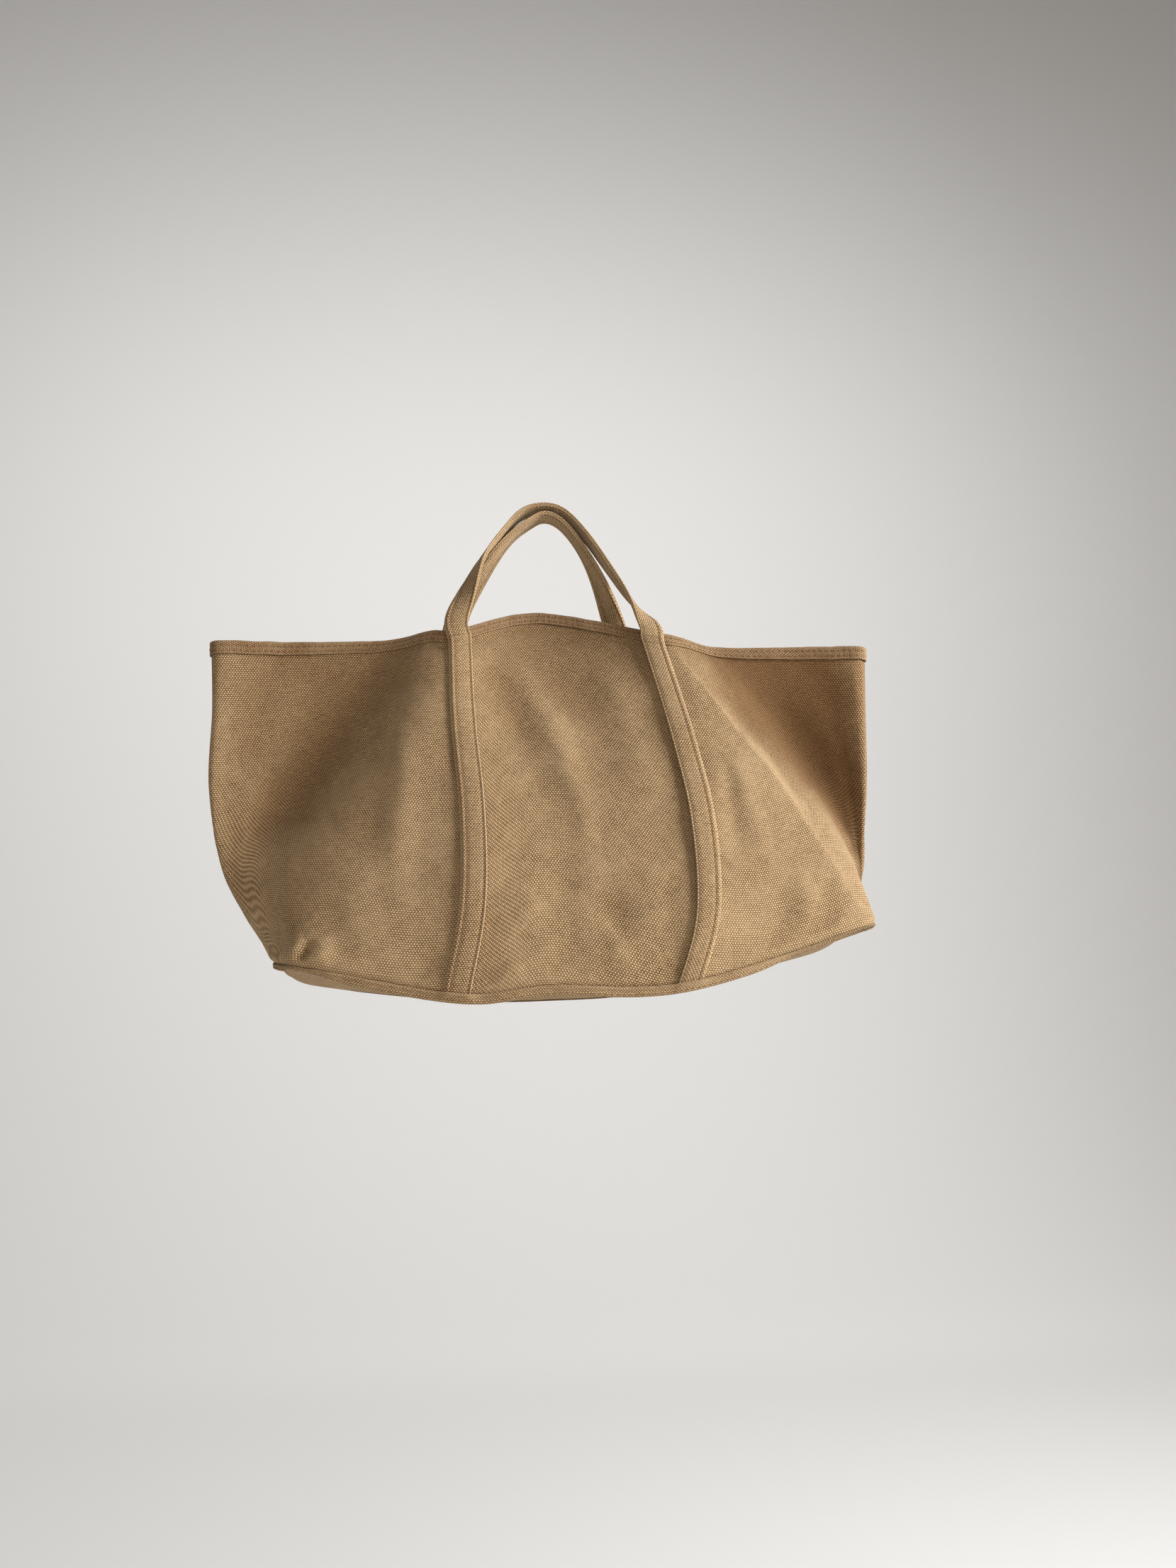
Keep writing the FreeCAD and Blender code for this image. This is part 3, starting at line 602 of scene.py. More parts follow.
class Field:
    """A number worked out by shader nodes, written as ordinary arithmetic."""

    def __init__(self, tree, socket):
        self.tree = tree
        self.socket = socket

    def apply(self, operation, *others, clamp=False):
        node = self.tree.nodes.new("ShaderNodeMath")
        node.operation = operation
        node.use_clamp = clamp
        for index, value in enumerate((self,) + others):
            if isinstance(value, Field):
                self.tree.links.new(value.socket, node.inputs[index])
            else:
                node.inputs[index].default_value = value
        return Field(self.tree, node.outputs[0])

    def __add__(self, other):
        return self.apply("ADD", other)

    def __sub__(self, other):
        return self.apply("SUBTRACT", other)

    def __mul__(self, other):
        return self.apply("MULTIPLY", other)

    def __truediv__(self, other):
        return self.apply("DIVIDE", other)

    def floor(self):
        return self.apply("FLOOR")

    def fract(self):
        return self.apply("FRACT")

    def cosine(self):
        return self.apply("COSINE")

    def power(self, exponent):
        return self.apply("POWER", exponent)

    def highest(self, other):
        return self.apply("SMOOTH_MAX", other, 0.15)

    def within(self):
        return self.apply("ADD", 0.0, clamp=True)


def attribute(tree, name):
    node = tree.nodes.new("ShaderNodeAttribute")
    node.attribute_name = name
    return node


def noise(tree, vector, scale, detail=2.0, roughness=0.5):
    """A noise field read at a vector socket."""
    node = tree.nodes.new("ShaderNodeTexNoise")
    node.inputs["Scale"].default_value = scale
    node.inputs["Detail"].default_value = detail
    node.inputs["Roughness"].default_value = roughness
    tree.links.new(vector, node.inputs["Vector"])
    return Field(tree, node.outputs["Fac"])


def stretched(tree, vector, factors):
    """A vector socket scaled differently along each of its axes."""
    node = tree.nodes.new("ShaderNodeVectorMath")
    node.operation = "MULTIPLY"
    node.inputs[1].default_value = factors
    tree.links.new(vector, node.inputs[0])
    return node.outputs[0]


def plain_weave(tree, flat, warp_pitch, weft_pitch):
    """Height of a plain weave, 0 in the gaps and about 1 on the crowns."""
    split = tree.nodes.new("ShaderNodeSeparateXYZ")
    tree.links.new(flat, split.inputs[0])
    wander = noise(tree, stretched(tree, flat, (90, 90, 1)), 1.0) - 0.5
    across = Field(tree, split.outputs[0]) / warp_pitch + wander * 0.5
    down = Field(tree, split.outputs[1]) / weft_pitch + wander * 0.35
    weft_round = (down.fract() - 0.5) * 2.0
    warp_round = (across.fract() - 0.5) * 2.0
    weft_body = (weft_round * weft_round * -1 + 1).apply("MAXIMUM", 0.0).power(0.7)
    warp_body = (warp_round * warp_round * -1 + 1).apply("MAXIMUM", 0.0).power(0.6)
    weft_wave = ((across - 0.5 + down.floor()) * math.pi).cosine() * 0.5 + 0.5
    warp_wave = ((down - 0.5 + across.floor() + 1) * math.pi).cosine() * 0.5 + 0.5
    return (weft_body * weft_wave).highest(warp_body * warp_wave * 0.42).within()


def mix_colour(tree, share, first, second):
    """Blend two colours, each a socket or four numbers, by a field."""
    node = tree.nodes.new("ShaderNodeMix")
    node.data_type = "RGBA"
    node.clamp_factor = True
    tree.links.new(share.socket, node.inputs["Factor"])
    for value, socket in ((first, node.inputs[6]), (second, node.inputs[7])):
        if isinstance(value, bpy.types.NodeSocket):
            tree.links.new(value, socket)
        else:
            socket.default_value = value
    return node.outputs[2]


def linear(red, green, blue):
    """A colour given as it is seen on screen, 0 to 255, as the shader's own numbers."""
    channels = []
    for value in (red, green, blue):
        share = value / 255
        channels.append(share / 12.92 if share < 0.04045 else ((share + 0.055) / 1.055) ** 2.4)
    return (*channels, 1.0)


def canvas_material(name, colours, warp_pitch, weft_pitch, bump_depth):
    """Woven cotton: crowns and gaps, slubs, washed-out patches, pale worn ridges, and painted shade
    in the hollows, the stitch grooves and the set-back sides.
    """
    crown, gap, faded, painted_shade_colour = colours
    material = bpy.data.materials.new(name)
    material.use_nodes = True
    tree = material.node_tree
    shader = tree.nodes["Principled BSDF"]
    flat = attribute(tree, "cloth").outputs["Vector"]
    relief = Field(tree, attribute(tree, "relief").outputs["Fac"])
    weave = plain_weave(tree, flat, warp_pitch, weft_pitch)
    slub_weft = noise(tree, stretched(tree, flat, (150, 550, 1)), 1.0)
    slub_warp = noise(tree, stretched(tree, flat, (850, 110, 1)), 1.0)
    patch = noise(tree, stretched(tree, flat, (11, 11, 1)), 1.0, 3.0, 0.6)
    mottle = noise(tree, stretched(tree, flat, (75, 75, 1)), 1.0, 3.0, 0.6)
    fuzz = noise(tree, stretched(tree, flat, (2600, 2600, 1)), 1.0, 2.0, 0.6)
    crowns = (weave * 1.45 - 0.24 + (slub_weft - 0.5) * 0.55 + (slub_warp - 0.5) * 0.3
              + (fuzz - 0.5) * 0.25)
    woven = mix_colour(tree, crowns, gap, crown)
    # Washed-out patches and random tone, paler on worn ridges; through the relief, painted shade
    # also keeps hollows and set-back sides darker, and painted light makes the forward bulge a
    # little paler.
    fading_and_painted_shade = (patch - 0.5) * 0.8 + (mottle - 0.5) * 0.35 + relief * 0.2 + 0.06
    colour = mix_colour(tree, fading_and_painted_shade, woven, faded)
    # Painted shade: where the relief is low (hollows, stitch grooves, set-back sides), the weave is
    # mixed towards a darker, deeper brown. The mottle adds random tone.
    deep = mix_colour(tree, crowns, gap, painted_shade_colour)
    shade = (relief * -0.5 + (mottle - 0.55) * 0.3).within()
    tree.links.new(mix_colour(tree, shade, colour, deep), shader.inputs["Base Color"])
    rough = (weave * -0.10 + (fuzz - 0.5) * 0.12 + 0.94).within()
    tree.links.new(rough.socket, shader.inputs["Roughness"])
    shader.inputs["Specular IOR Level"].default_value = 0.18
    shader.inputs["Sheen Weight"].default_value = 0.22
    shader.inputs["Sheen Roughness"].default_value = 0.45
    shader.inputs["Sheen Tint"].default_value = (0.86, 0.72, 0.54, 1.0)
    height = weave + (fuzz - 0.5) * 0.35 + (slub_weft - 0.5) * 0.3 + (mottle - 0.5) * 0.4
    bump = tree.nodes.new("ShaderNodeBump")
    bump.inputs["Distance"].default_value = bump_depth
    bump.inputs["Strength"].default_value = 1.0
    tree.links.new(height.socket, bump.inputs["Height"])
    tree.links.new(bump.outputs["Normal"], shader.inputs["Normal"])
    return material


def thread_material(name, light, dark):
    """Twisted sewing thread: fine slanting plies, a little lint."""
    material = bpy.data.materials.new(name)
    material.use_nodes = True
    tree = material.node_tree
    shader = tree.nodes["Principled BSDF"]
    place = tree.nodes.new("ShaderNodeTexCoord").outputs["Object"]
    split = tree.nodes.new("ShaderNodeSeparateXYZ")
    tree.links.new(place, split.inputs[0])
    lint = noise(tree, stretched(tree, place, (1500, 1500, 1500)), 1.0)
    twist = ((Field(tree, split.outputs[0]) + Field(tree, split.outputs[2])
              + Field(tree, split.outputs[1])) * 9000).cosine() * 0.5 + 0.5
    share = (twist * 0.6 + lint * 0.6 - 0.1).within()
    tree.links.new(mix_colour(tree, share, dark, light), shader.inputs["Base Color"])
    rough = (lint * 0.3 + 0.6).within()
    tree.links.new(rough.socket, shader.inputs["Roughness"])
    shader.inputs["Specular IOR Level"].default_value = 0.25
    shader.inputs["Sheen Weight"].default_value = 0.15
    bump = tree.nodes.new("ShaderNodeBump")
    bump.inputs["Distance"].default_value = 0.0001
    tree.links.new(share.socket, bump.inputs["Height"])
    tree.links.new(bump.outputs["Normal"], shader.inputs["Normal"])
    return material


def plain_material(name, colour, roughness):
    material = bpy.data.materials.new(name)
    material.use_nodes = True
    shader = material.node_tree.nodes["Principled BSDF"]
    shader.inputs["Base Color"].default_value = colour
    shader.inputs["Roughness"].default_value = roughness
    return material


# ---------------------------------------------------------------- pieces of the bag

def panel(cloth, name, material, columns, rows):
    """One side of the bag, seam to seam and rim to base, as one sheet of cloth."""
    side = cloth.side
    across = cloth.shell.even_columns(side, columns)
    down = np.linspace(0, 1, rows) ** 0.97
    column, share = (grid.ravel() for grid in np.meshgrid(across, down))
    last = LAST_COLUMN[side]
    beside = np.minimum(column, last - column)
    thick = CLOTH_THICK * (0.25 + 0.75 * smooth_step(beside, 0.0, 0.45))
    tuck = -FOOT_TUCK * smooth_step(share, 0.975, 1.0) ** 2
    outer = cloth.at(column, share, thick + tuck).reshape(rows, columns, 3)
    inner = cloth.at(column, share, tuck).reshape(rows, columns, 3)
    # Relief: convex ridges a little paler with wear, painted shade in the concave creases.
    bend = (grid_relief(outer, 4) + grid_relief(outer, 9)) * cloth.shell.outward[side]
    # Painted shade on the front panel: darker where the cloth lies back towards the side seams, most
    # strongly on the right side, which is turned from the key light; a little paler on the forward
    # bulge.
    forward = (SEAM_PLANE - outer[..., 1].ravel()) / BASE_DEPTH
    across = smooth_step(outer[..., 0].ravel(), 90 * MM, 190 * MM)
    painted_shade_by_depth = (1.3 + 1.9 * across) * (smooth_step(forward, 0.10, 0.55) - 1) + 0.2
    return closed_sheet(name, outer, inner, material, flat_coordinates(outer),
                        bend * 0.3 + (painted_shade_by_depth * 0.8 if side == "front" else 0.0))


def rim_stations(shell, step):
    """Frames round the whole rim, front left to right and back right to left."""
    runs = []
    for side, first, last in (("front", 0.0, LAST_COLUMN["front"]),
                              ("back", LAST_COLUMN["back"], 0.0)):
        column = np.linspace(first, last, 240)[:-1]
        place, _, down, normal = shell.frame(side, column, np.zeros(len(column)))
        runs.append((place, down, normal))
    place, down, normal = (np.concatenate(parts) for parts in zip(*runs))
    run = lengths_along(np.concatenate([place, place[:1]]))
    count = int(run[-1] / step)
    even = np.linspace(0, run[-1], count, endpoint=False)

    def spread_out(values):
        return resample(run, np.concatenate([values, values[:1]]), even)

    corner = 2.2 * MM / step
    place = soften(spread_out(place), corner, closed=True)
    down = unit(soften(spread_out(down), corner * 2, closed=True))
    normal = unit(soften(spread_out(normal), corner, closed=True))
    return place, down, normal


def rim_section():
    """The tape's outline, an upside-down U over the cloth: (out, drop) in metres."""
    drop = [11.2, 10.9, 9.6, 8.0, 6.6, 5.5, 4.4, 3.1, 1.8, 0.6]
    puff = [-0.55, -0.1, 0.02, -0.12, 0.18, 0.28, 0.18, -0.12, 0.05, 0.0]
    outside = [(TAPE_FACE + extra, low) for low, extra in zip(drop, puff)]
    reach = TAPE_FACE - TAPE_MIDDLE
    arch = [(TAPE_MIDDLE + reach * math.cos(angle), -0.3 - 1.75 * math.sin(angle))
            for angle in np.linspace(0.25, math.pi - 0.25, 7)]
    inside = [(2 * TAPE_MIDDLE - out, low) for out, low in reversed(outside)]
    slot = [(-0.15, 11.0), (-0.15, 0.2), (1.65, 0.2), (1.65, 11.0)]
    return np.array(outside + arch + inside + slot) * MM


def rim_binding(shell, material, thread):
    """Folded tape round the rim with two rows of stitches through it."""
    step = 1.6 * MM
    place, down, normal = rim_stations(shell, step)
    section = rim_section()
    count = len(place)
    pitch = 5.4 * MM
    run = np.arange(count) * step
    total = count * step
    holes = max(int(round(total / pitch)), 1)
    phase = run / total * holes
    near_hole = np.exp(-((phase - np.round(phase)) * pitch / (1.1 * MM)) ** 2)
    drop = section[:, 1]
    visible = (section[:, 0] > 2.6 * MM) | (section[:, 0] < -1.1 * MM)
    lift = np.zeros((count, len(section)))
    outside = np.where(section[:, 0] > TAPE_MIDDLE * MM, 1.0, -1.0)
    for row in RIM_STITCH_DROPS:
        pull = np.exp(-((drop - row * MM) / (1.0 * MM)) ** 2) * visible
        lift -= (0.15 + 0.5 * near_hole[:, None]) * MM * pull
    sway = ripple(np.stack([run, run * 0], axis=1), 30 * MM, 5)[:, None]
    lift += 0.15 * MM * sway * visible
    shift = np.stack([ripple(np.stack([run, run * 0], axis=1), 22 * MM, 7)] * 3, axis=1)
    place = place + down * shift * 0.25 * MM
    # Relief of the tape: its folded top a little paler with wear, painted shade along the stitch
    # rows and at the needle holes, and random tone from the sway.
    tape = swept("rim_binding", place, down, normal,
                 np.stack([drop, section[:, 0]], axis=1), material, closed=True,
                 lift=lift * outside[None, :],
                 relief=(np.where(drop < 0.3 * MM, 0.7, 0.0)[None, :] + lift / (0.3 * MM)).ravel())
    rows = []
    reach = TAPE_FACE - TAPE_MIDDLE - TAPE_STITCH_DEPTH
    for row in RIM_STITCH_DROPS:
        for way in (1.0, -1.0):
            out = TAPE_MIDDLE + reach * way
            line = place + down * row * MM + normal * out * MM
            line = np.concatenate([line, line[:1]])
            rows.append((line, np.concatenate([normal, normal[:1]]) * way))
    stitches = sew(rows, thread, "rim_stitches", pitch=pitch, share=0.72, seed=3)
    return tape, stitches


def strap_lift(share):
    """How far the strap's inner face stands off the panel: it rides over the tape."""
    flat = CLOTH_THICK + STRAP_GAP
    blend = np.clip((share - 0.05) / 0.06, 0.0, 1.0)
    tuck = STRAP_TUCK * smooth_step(share, 0.965, 1.0)
    return STRAP_OVER_TAPE + (flat - STRAP_OVER_TAPE) * blend - tuck


def strap_leg(cloth, column, count=40):
    """Frames up a panel's strap, from the base to the rim: place, width way, in way."""
    share = np.linspace(1.0, 0.022, count)
    column = np.full(count, column)
    half = STRAP_WIDTH / 2
    lift = strap_lift(share) + STRAP_THICK / 2
    left = cloth.shell.column_beside(cloth.side, column, share, -half)
    right = cloth.shell.column_beside(cloth.side, column, share, half)
    bulge = cloth.lift(column, share, cloth.shell.point(cloth.side, column, share))
    from_left = cloth.shell.offset(cloth.side, left, share, lift[:, None] + bulge[:, None])
    from_right = cloth.shell.offset(cloth.side, right, share, lift[:, None] + bulge[:, None])
    _, _, _, normal = cloth.shell.frame(cloth.side, column, share)
    return (from_left + from_right) / 2, unit(from_right - from_left), -normal


def strap_top(shell, side, column):
    """Middle of the strap's thickness at the rim, where its handle takes over."""
    lift = STRAP_OVER_TAPE + STRAP_THICK / 2
    return shell.offset(side, np.array([column]), np.zeros(1), lift)[0]


def handle_frames(shell, side, count=90):
    """Frames over the top from the left rim to the right one."""
    line = FRONT_HANDLE if side == "front" else BACK_HANDLE
    sign = 1.0 if side == "front" else -1.0
    tops = [strap_top(shell, side, column) for column in STRAP_COLUMNS[side]]
    base_depth = (tops[0][1] + tops[1][1]) / 2
    base_height = (tops[0][2] + tops[1][2]) / 2 + HINGE_GAP
    top_depth = -HANDLE_APART * sign
    top_height = STRAP_THICK / 2
    if side == "front":
        top_height += STRAP_THICK + HANDLE_STACK_GAP
    across, rise, twist, lean = np.array(line, float).T
    middle = np.stack([across * HALF_MOUTH, base_depth + (top_depth - base_depth) * lean,
                       base_height + (top_height - base_height) * rise], axis=1)
    share = np.linspace(0, 1, count)
    small = 0.002
    place = along(middle, share)
    tangent = unit(along(middle, share + small) - along(middle, share - small))
    turn = np.radians(along(np.stack([twist] * 3, axis=1), share)[:, 0])
    width = np.stack([sign * np.cos(turn), -np.sin(turn), turn * 0], axis=1)
    width = unit(width - tangent * np.einsum("ij,ij->i", tangent, width)[:, None])
    return place, width, np.cross(tangent, width)


def strap_section():
    """Two folded layers, the outer one set in at one edge: (across, in) in metres."""
    right = [(9.3, -1.95), (10.1, -1.75), (10.5, -1.15), (10.35, -0.5), (9.6, -0.08),
             (9.5, 0.08), (9.9, 0.5), (9.95, 1.1), (9.5, 1.6)]
    under = [(x, 1.8) for x in (8.9, 8.2, 7.4, 4.4, 1.5, -1.5, -4.6, -5.4, -6.2, -8.3)]
    left = [(-9.4, 1.75), (-10.2, 1.45), (-10.5, 0.9), (-10.25, 0.3), (-9.5, 0.0), (-8.8, -0.1),
            (-8.5, -0.4), (-8.75, -0.95), (-8.6, -1.5), (-7.9, -1.8)]
    outer = [(x, -1.8) for x in (-6.4, -5.4, -4.4, -1.5, 1.5, 4.4, 7.2, 8.2)]
    return np.array(right + under + left + outer) * MM


def strap_and_handle(cloth, name, strap_material, thread):
    """One length of folded canvas: up a panel, over the top and down again."""
    shell = cloth.shell
    side = cloth.side
    left, right = STRAP_COLUMNS[side]
    flip = 1.0 if side == "front" else -1.0
    first = strap_leg(cloth, left)
    last = strap_leg(cloth, right)
    over = handle_frames(shell, side)
    up = (first[0], first[1] * flip, first[2])
    down = (last[0][::-1], last[1][::-1] * -flip, last[2][::-1])
    place, width, inward = (np.concatenate(parts) for parts in zip(up, over, down))
    run = lengths_along(place)
    step = 1.5 * MM
    even = np.linspace(0, run[-1], int(run[-1] / step))
    place = soften(resample(run, place, even), 2.5)
    width = unit(soften(resample(run, width, even), 4.0))
    inward = unit(soften(resample(run, inward, even), 4.0))
    inward = unit(inward - width * np.einsum("ij,ij->i", width, inward)[:, None])
    section = strap_section()
    pitch = 4.6 * MM
    phase = even / pitch
    near_hole = np.exp(-((phase - np.floor(phase) - 0.5) * pitch / (1.1 * MM)) ** 2)
    lift = np.zeros((len(even), len(section)))
    faces = np.abs(section[:, 1]) > 1.7 * MM
    way = np.sign(section[:, 1])
    for row in STRAP_STITCHES:
        pull = np.exp(-((section[:, 0] - row * MM) / (0.75 * MM)) ** 2) * faces
        lift -= (0.42 + 0.3 * near_hole[:, None]) * MM * (pull * way)[None, :]
    crown = (1 - (section[:, 0] / (9 * MM)) ** 2).clip(0) * faces * way
    lift += 0.25 * MM * crown[None, :]
    # Relief of the strap: its rolled edges paler with wear, painted shade along the stitch rows.
    edge = np.where(np.abs(section[:, 0]) > 9.2 * MM, 1.0, 0.0)
    edge -= 1.2 * sum(np.exp(-((section[:, 0] - row * MM) / (0.6 * MM)) ** 2) * faces
                      for row in STRAP_STITCHES)
    strap = swept(name, place, width, inward, section, strap_material, lift=lift,
                  relief=np.tile(edge, len(even)))
    rows = []
    for row in STRAP_STITCHES:
        for out in (-1.0, 1.0):
            line = place + width * row * MM + inward * out * (STRAP_THICK / 2 - 0.35 * MM)
            rows.append((line, inward * out))
    stitches = sew(rows, thread, name + "_stitches", pitch=pitch, share=0.68, seed=11)
    return strap, stitches


def base_loop(shell):
    """The base's edge in six runs, front left corner first, anticlockwise from above."""
    front_left, front_right = CORNER_COLUMNS["front"]
    back_left, back_right = CORNER_COLUMNS["back"]
    parts = []
    for side, first, last in (("front", front_left, front_right),
                              ("front", front_right, LAST_COLUMN["front"]),
                              ("back", LAST_COLUMN["back"], back_right),
                              ("back", back_right, back_left),
                              ("back", back_left, 0.0),
                              ("front", 0.0, front_left)):
        column = np.linspace(first, last, 80)[:-1]
        parts.append(shell.point(side, column, np.ones(len(column))))
    return parts


def lip_fullness(run, loop, corners):
    """How full the base's lip is round its edge: it thins out towards the corners."""
    whole = run[-1] + np.linalg.norm(loop[-1] - loop[0])
    from_corner = np.abs(run[:, None] - run[corners][None, :])
    from_corner = np.minimum(from_corner, whole - from_corner).min(axis=1)
    return smooth_step(from_corner, -4 * MM, 40 * MM)[:, None]


def strap_swell(shell, loop):
    """How far the lip bulges out where it passes over the sewn-in end of a strap."""
    swell = np.zeros(len(loop))
    for side in ("front", "back"):
        for column in STRAP_COLUMNS[side]:
            end = shell.point(side, np.array([column]), np.ones(1))[0]
            gap = np.linalg.norm(loop - end, axis=1)
            swell += 2.6 * MM * (1 - smooth_step(gap, 8 * MM, 16 * MM))
    return swell


def base_panel(shell, material, thread):
    """The base: a rounded lip all round, then cloth that sags under the bag."""
    parts = base_loop(shell)
    front = parts[0]
    right = np.concatenate([parts[1], parts[2]])
    back = parts[3]
    left = np.concatenate([parts[4], parts[5]])
    long_count, short_count = 150, 44

    def evenly(line, following, count):
        closed = np.concatenate([line, following[:1]])
        run = lengths_along(closed)
        return resample(run, closed, np.linspace(0, run[-1], count + 1))

    south = evenly(front, right, long_count)
    east = evenly(right, back, short_count)
    north = evenly(back, left, long_count)[::-1]
    west = evenly(left, front, short_count)[::-1]
    s = np.linspace(0, 1, long_count + 1)[None, :, None]
    t = np.linspace(0, 1, short_count + 1)[:, None, None]
    patch = (south[None] * (1 - t) + north[None] * t + west[:, None] * (1 - s)
             + east[:, None] * s
             - ((south[0] * (1 - s) + south[-1] * s) * (1 - t)
                + (north[0] * (1 - s) + north[-1] * s) * t))
    shape = patch.shape
    index = np.arange(shape[0] * shape[1]).reshape(shape[:2])
    border = np.concatenate([index[0, :-1], index[:-1, -1], index[-1, :0:-1], index[:0:-1, 0]])
    flat_patch = patch.reshape(-1, 3)
    loop = flat_patch[border]
    smoothed = soften(loop, 2.0, closed=True)
    middle_depth = loop[:, 1].mean()
    tangent = unit(np.roll(smoothed, -1, axis=0) - np.roll(smoothed, 1, axis=0))
    outward = unit(np.cross(tangent, [0, 0, 1.0]))
    lip = [(-2.6, -0.6), (-1.2, 0.6), (0.5, 1.0), (1.8, 0.5), (2.4, -0.6), (2.1, -1.8),
           (1.3, -2.7), (1.5, -3.8), (1.4, -5.2), (0.5, -6.4), (-1.2, -7.0), (-3.6, -6.8)]
    run = lengths_along(loop)
    fullness = lip_fullness(run, loop, np.cumsum([0, long_count, short_count, long_count]))
    behind = smooth_step(loop[:, 1], middle_depth, loop[:, 1].max())[:, None]
    fullness = fullness * (1 - 0.6 * np.abs(outward[:, :1]))
    fullness = fullness * (1 - 0.95 * smooth_step(loop[:, :1], 150 * MM, 205 * MM))
    drop_share = (0.2 + 0.8 * fullness) * (1 - 0.5 * behind)
    swell = strap_swell(shell, loop)[:, None]
    wobble = ripple(np.stack([run, run * 0], axis=1), 26 * MM, 21)[:, None]
    rings = []
    for out, rise in lip:
        faces_out = rise > -3.0 and out > 0
        reach = out * MM * fullness + swell * (1.0 if faces_out else 0.4)
        ring = loop + outward * (reach + wobble * 0.3 * MM)
        rings.append(ring + np.array([0, 0, 1.0]) * rise * MM * drop_share)
    sag = np.sin(math.pi * s[..., 0]) * np.sin(math.pi * t[..., 0])
    under = patch.copy()
    under[..., 2] -= 3.4 * MM + 0.6 * MM * sag
    inside = patch.copy()
    inside[..., 2] -= 1.6 * MM + 0.6 * MM * sag
    grid = under.reshape(-1, 3)
    grid[border] = rings[-1]
    verts = [grid]
    for ring in rings[:-1][::-1]:
        verts.append(ring)
    verts.append(loop - outward * 1.2 * MM - np.array([0, 0, 1.6 * MM]))
    start_inside = sum(len(v) for v in verts)
    verts.append(inside.reshape(-1, 3))
    every = np.concatenate(verts)
    count = len(grid)
    faces = [grid_faces(shape[0], shape[1])]
    around = len(border)
    previous = border
    for ring in range(len(rings)):
        current = count + ring * around + np.arange(around)
        faces.append(np.stack([previous, current, np.roll(current, -1), np.roll(previous, -1)],
                              axis=1))
        previous = current
    inner_border = border + start_inside
    faces.append(np.stack([previous, inner_border, np.roll(inner_border, -1),
                           np.roll(previous, -1)], axis=1))
    faces.append(grid_faces(shape[0], shape[1], start_inside)[:, ::-1])
    quads = face_outward(np.concatenate(faces), every)
    flat_grid = flat_coordinates(patch)
    away = np.repeat([(0.0, -1.0), (1.0, 0.0), (0.0, 1.0), (-1.0, 0.0)],
                     [long_count, short_count, long_count, short_count], axis=0)
    flats = [flat_grid]
    for ring in range(len(rings)):
        flats.append(flat_grid[border] + away * 1.7 * MM * (ring + 1))
    flats.append(flat_grid)
    relief = np.concatenate([np.zeros(count), np.tile(0.25, around * len(rings)),
                             np.zeros(count)])
    base = new_object("base_panel", every, quads, material, np.concatenate(flats), relief)
    stitch_ring = 8
    stitch_line = rings[stitch_ring]
    facing = unit(outward - np.array([0, 0, 0.8]))
    rows = [(np.concatenate([stitch_line, stitch_line[:1]]),
             np.concatenate([facing, facing[:1]]))]
    stitches = sew(rows, thread, "base_stitches", pitch=4.8 * MM, share=0.7, seed=17)
    return base, stitches


def tacks(shell, thread):
    """Two rows of thread across every strap where it crosses the rim tape."""
    rows = []
    for side in ("front", "back"):
        for column in STRAP_COLUMNS[side]:
            for share in (0.022, 0.038):
                many = np.full(9, share)
                reach = np.linspace(-8.5, 8.5, 9) * MM
                columns = shell.column_beside(side, np.full(9, column), many, reach)
                lift = strap_lift(many) + STRAP_THICK + 0.05 * MM
                place = shell.offset(side, columns, many, lift[:, None])
                _, _, _, normal = shell.frame(side, columns, many)
                rows.append((place, normal))
    return sew(rows, thread, "strap_tacks", pitch=3.4 * MM, share=0.8, seed=23)


def allowance(name, line, inward, sideways, width, material, seed):
    """Raw seam edges inside the bag: a narrow double strip."""
    run = lengths_along(line)
    wave = ripple(np.stack([run, run * 0], axis=1), 45 * MM, seed)[:, None]
    reach = width / MM
    section = np.array([(0.0, 0.45), (reach / 2, 0.55), (reach, 0.4), (reach + 0.2, 0.0),
                        (reach, -0.4), (reach / 2, -0.55), (0.0, -0.45)]) * MM
    return swept(name, line + sideways * wave * 0.3 * MM, inward, sideways, section, material,
                 relief=np.tile(np.array([0, 0, 0.4, 0.8, 0.4, 0, 0]), len(line)))


def side_allowances(shell, material):
    """The side seams' raw edges, which stop short of the base."""
    share = np.linspace(0.05, 0.8, 90)
    front_last, back_last = LAST_COLUMN["front"], LAST_COLUMN["back"]
    for hand, front, front_near, back_near in (
            ("left", 0.0, 1.0, 1.0),
            ("right", front_last, front_last - 1.0, back_last - 1.0)):
        seam = shell.point("front", np.full(len(share), front), share)
        front_side = shell.point("front", np.full(len(share), front_near), share)
        back_side = shell.point("back", np.full(len(share), back_near), share)
        inward = (front_side + back_side) / 2 - seam
        inward[:, 2] = 0
        inward = unit(inward)
        sideways = np.stack([-inward[:, 1], inward[:, 0], inward[:, 2]], axis=1)
        strip = allowance("side_allowance_" + hand, seam + inward * ALLOWANCE_CLEAR, inward,
                          sideways, ALLOWANCE_WIDTH, material, 31)
        ride_as(strip, "bag", ["side_seam_" + hand])


def base_allowances(shell, material):
    """The base seam's raw edges, inside the bag along the front and the back."""
    for side, ends in BASE_SEAM_COLUMNS.items():
        column = np.linspace(*ends, 140)
        place, _, down, normal = shell.frame(side, column, np.ones(len(column)))
        line = place - normal * CLOTH_THICK - down * ALLOWANCE_CLEAR
        strip = allowance("base_allowance_" + side, line, -down, normal, ALLOWANCE_WIDTH,
                          material, 37)
        ride_as(strip, "bag", ["base_seam_" + side])


# ---------------------------------------------------------------- the scene

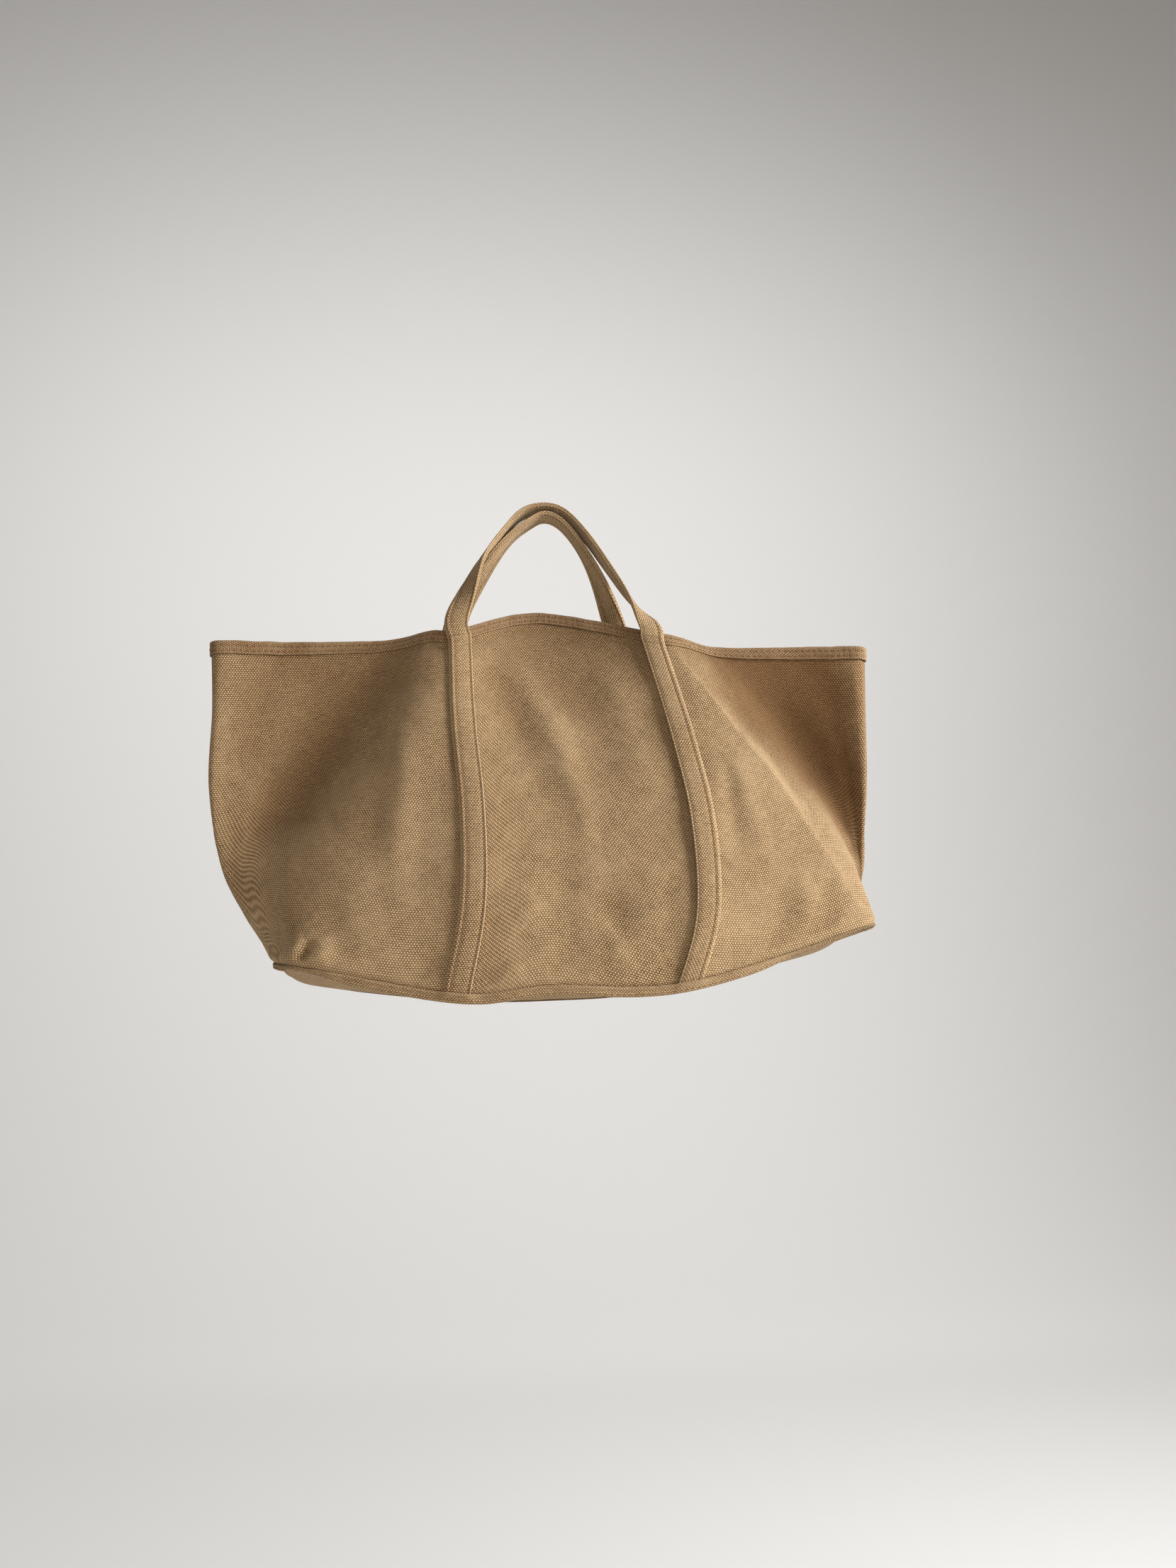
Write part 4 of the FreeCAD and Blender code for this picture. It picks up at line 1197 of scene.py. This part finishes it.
def camera():
    """The camera at the angle, distance and framing of a person facing the wall."""
    yaw, pitch, roll = (math.radians(angle) for angle in (5.0, 13.675, -1.196))
    forward = Vector((math.sin(yaw) * math.cos(pitch), math.cos(yaw) * math.cos(pitch),
                      math.sin(pitch)))
    level = Vector((math.cos(yaw), -math.sin(yaw), 0))
    upright = level.cross(forward)
    right = math.cos(roll) * level + math.sin(roll) * upright
    up = -math.sin(roll) * level + math.cos(roll) * upright
    data = bpy.data.cameras.new("camera")
    data.lens = 26.69
    data.sensor_width = 36.0
    data.clip_start = 0.05
    data.clip_end = 50
    view = bpy.data.objects.new("camera", data)
    bpy.context.scene.collection.objects.link(view)
    turn = Matrix((right, up, -forward)).transposed().to_4x4()
    view.matrix_world = Matrix.Translation((-0.0509, -0.997, -0.4995)) @ turn
    bpy.context.scene.camera = view


def area_light(name, place, target, size, power, colour):
    data = bpy.data.lights.new(name, "AREA")
    data.shape = "RECTANGLE"
    data.size, data.size_y = size
    data.energy = power
    data.color = colour
    light = bpy.data.objects.new(name, data)
    bpy.context.scene.collection.objects.link(light)
    light.location = place
    way = Vector(target) - Vector(place)
    light.rotation_euler = way.to_track_quat("-Z", "Y").to_euler()


def studio():
    """Pale floor and curved backdrop, a soft key from the right and gentle fill."""
    lowest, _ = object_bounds()
    floor_height = lowest.z - 0.85
    depth = [(-4.0, 0.0), (1.2, 0.0), (2.6, 0.1), (3.5, 0.7), (3.9, 1.8), (4.0, 3.5), (4.0, 8.0)]
    line = along(np.array([(0, y, z) for y, z in depth], float), np.linspace(0, 1, 60))
    verts = []
    for x in (-9.0, 9.0):
        verts.extend([(x, y, z + floor_height) for _, y, z in line])
    count = len(line)
    faces = [(index, index + 1, index + 1 + count, index + count) for index in range(count - 1)]
    pale = plain_material("studio_pale", (0.86, 0.855, 0.85, 1.0), 0.9)
    floor = new_object("studio_floor", np.array(verts), faces, pale)
    floor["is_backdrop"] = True
    area_light("key", (1.95, -0.80, 0.30), (0, -0.05, -0.28), (1.1, 1.2), 94, (1.0, 0.995, 0.98))
    area_light("fill", (-0.5, -2.3, -1.1), (0, 0, -0.35), (2.2, 1.8), 27, (1.0, 0.91, 0.80))
    area_light("backdrop_light", (0, 0.8, 2.6), (0, 3.8, 1.3), (6.0, 1.0), 75, (1.0, 1.0, 1.0))
    world = bpy.data.worlds.new("studio")
    world.use_nodes = True
    background = world.node_tree.nodes["Background"]
    background.inputs["Color"].default_value = (1.0, 0.94, 0.86, 1.0)
    background.inputs["Strength"].default_value = 0.2
    bpy.context.scene.world = world
    bpy.context.scene.view_settings.view_transform = "Standard"


def ride_as(piece, body, nodes=()):
    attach(piece, body)
    if nodes:
        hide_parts(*nodes)


def blend_as(piece, handle, nodes=()):
    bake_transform(piece)
    if nodes:
        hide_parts(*nodes)


def build_bag():
    shell = Shell()
    shell.fit(*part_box("front_panel"))
    gap = linear(76, 50, 25)
    # The darker, deeper brown used for painted shade in hollows, stitch grooves and on the set-back
    # sides.
    painted_shade_colour = linear(150, 113, 73)
    canvas = canvas_material("canvas", (linear(212, 179, 135), gap, linear(206, 177, 138),
                                        painted_shade_colour), 1.15 * MM, 1.82 * MM, 0.7 * MM)
    tape = canvas_material("tape", (linear(182, 151, 115), gap, linear(176, 148, 114),
                                    painted_shade_colour), 1.0 * MM, 1.5 * MM, 0.35 * MM)
    strap = canvas_material("strap", (linear(212, 180, 137), gap, linear(206, 178, 140),
                                      painted_shade_colour), 1.15 * MM, 1.6 * MM, 0.5 * MM)
    thread = thread_material("thread", linear(168, 134, 94), linear(92, 66, 40))

    front = Cloth(shell, "front", FRONT_FOLDS, 41)
    back = Cloth(shell, "back", BACK_FOLDS, 57)
    front_panel = panel(front, "front_cloth", canvas, 240, 132)
    back_panel = panel(back, "back_cloth", canvas, 200, 110)
    ride_as(front_panel, "bag", ["front_panel"])
    ride_as(back_panel, "bag", ["back_panel"])

    binding, rim_stitches = rim_binding(shell, tape, thread)
    ride_as(binding, "bag", ["rim_binding_front", "rim_binding_back"])
    ride_as(rim_stitches, "bag")

    base, base_stitches = base_panel(shell, canvas, thread)
    ride_as(base, "bag", ["bottom_panel", "bottom_welt_front", "bottom_welt_back",
                                    "bottom_welt_left", "bottom_welt_right"])
    ride_as(base_stitches, "bag")

    ride_as(tacks(shell, thread), "bag",
            ["front_strap_tack_left", "front_strap_tack_right",
             "back_strap_tack_left", "back_strap_tack_right"])

    for cloth, side in ((front, "front"), (back, "back")):
        piece, stitches = strap_and_handle(cloth, side + "_strap", strap, thread)
        nodes = [side + "_strap_left", side + "_strap_right", side + "_handle"]
        blend_as(piece, side + "_handle", nodes)
        blend_as(stitches, side + "_handle")

    side_allowances(shell, canvas)
    base_allowances(shell, canvas)


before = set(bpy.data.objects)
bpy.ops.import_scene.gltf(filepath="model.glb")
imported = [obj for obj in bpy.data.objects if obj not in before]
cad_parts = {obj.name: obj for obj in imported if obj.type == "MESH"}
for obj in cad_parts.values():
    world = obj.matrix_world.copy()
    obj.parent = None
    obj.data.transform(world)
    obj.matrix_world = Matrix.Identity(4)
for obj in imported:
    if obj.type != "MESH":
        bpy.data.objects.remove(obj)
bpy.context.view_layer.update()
build_bag()
studio()
camera()
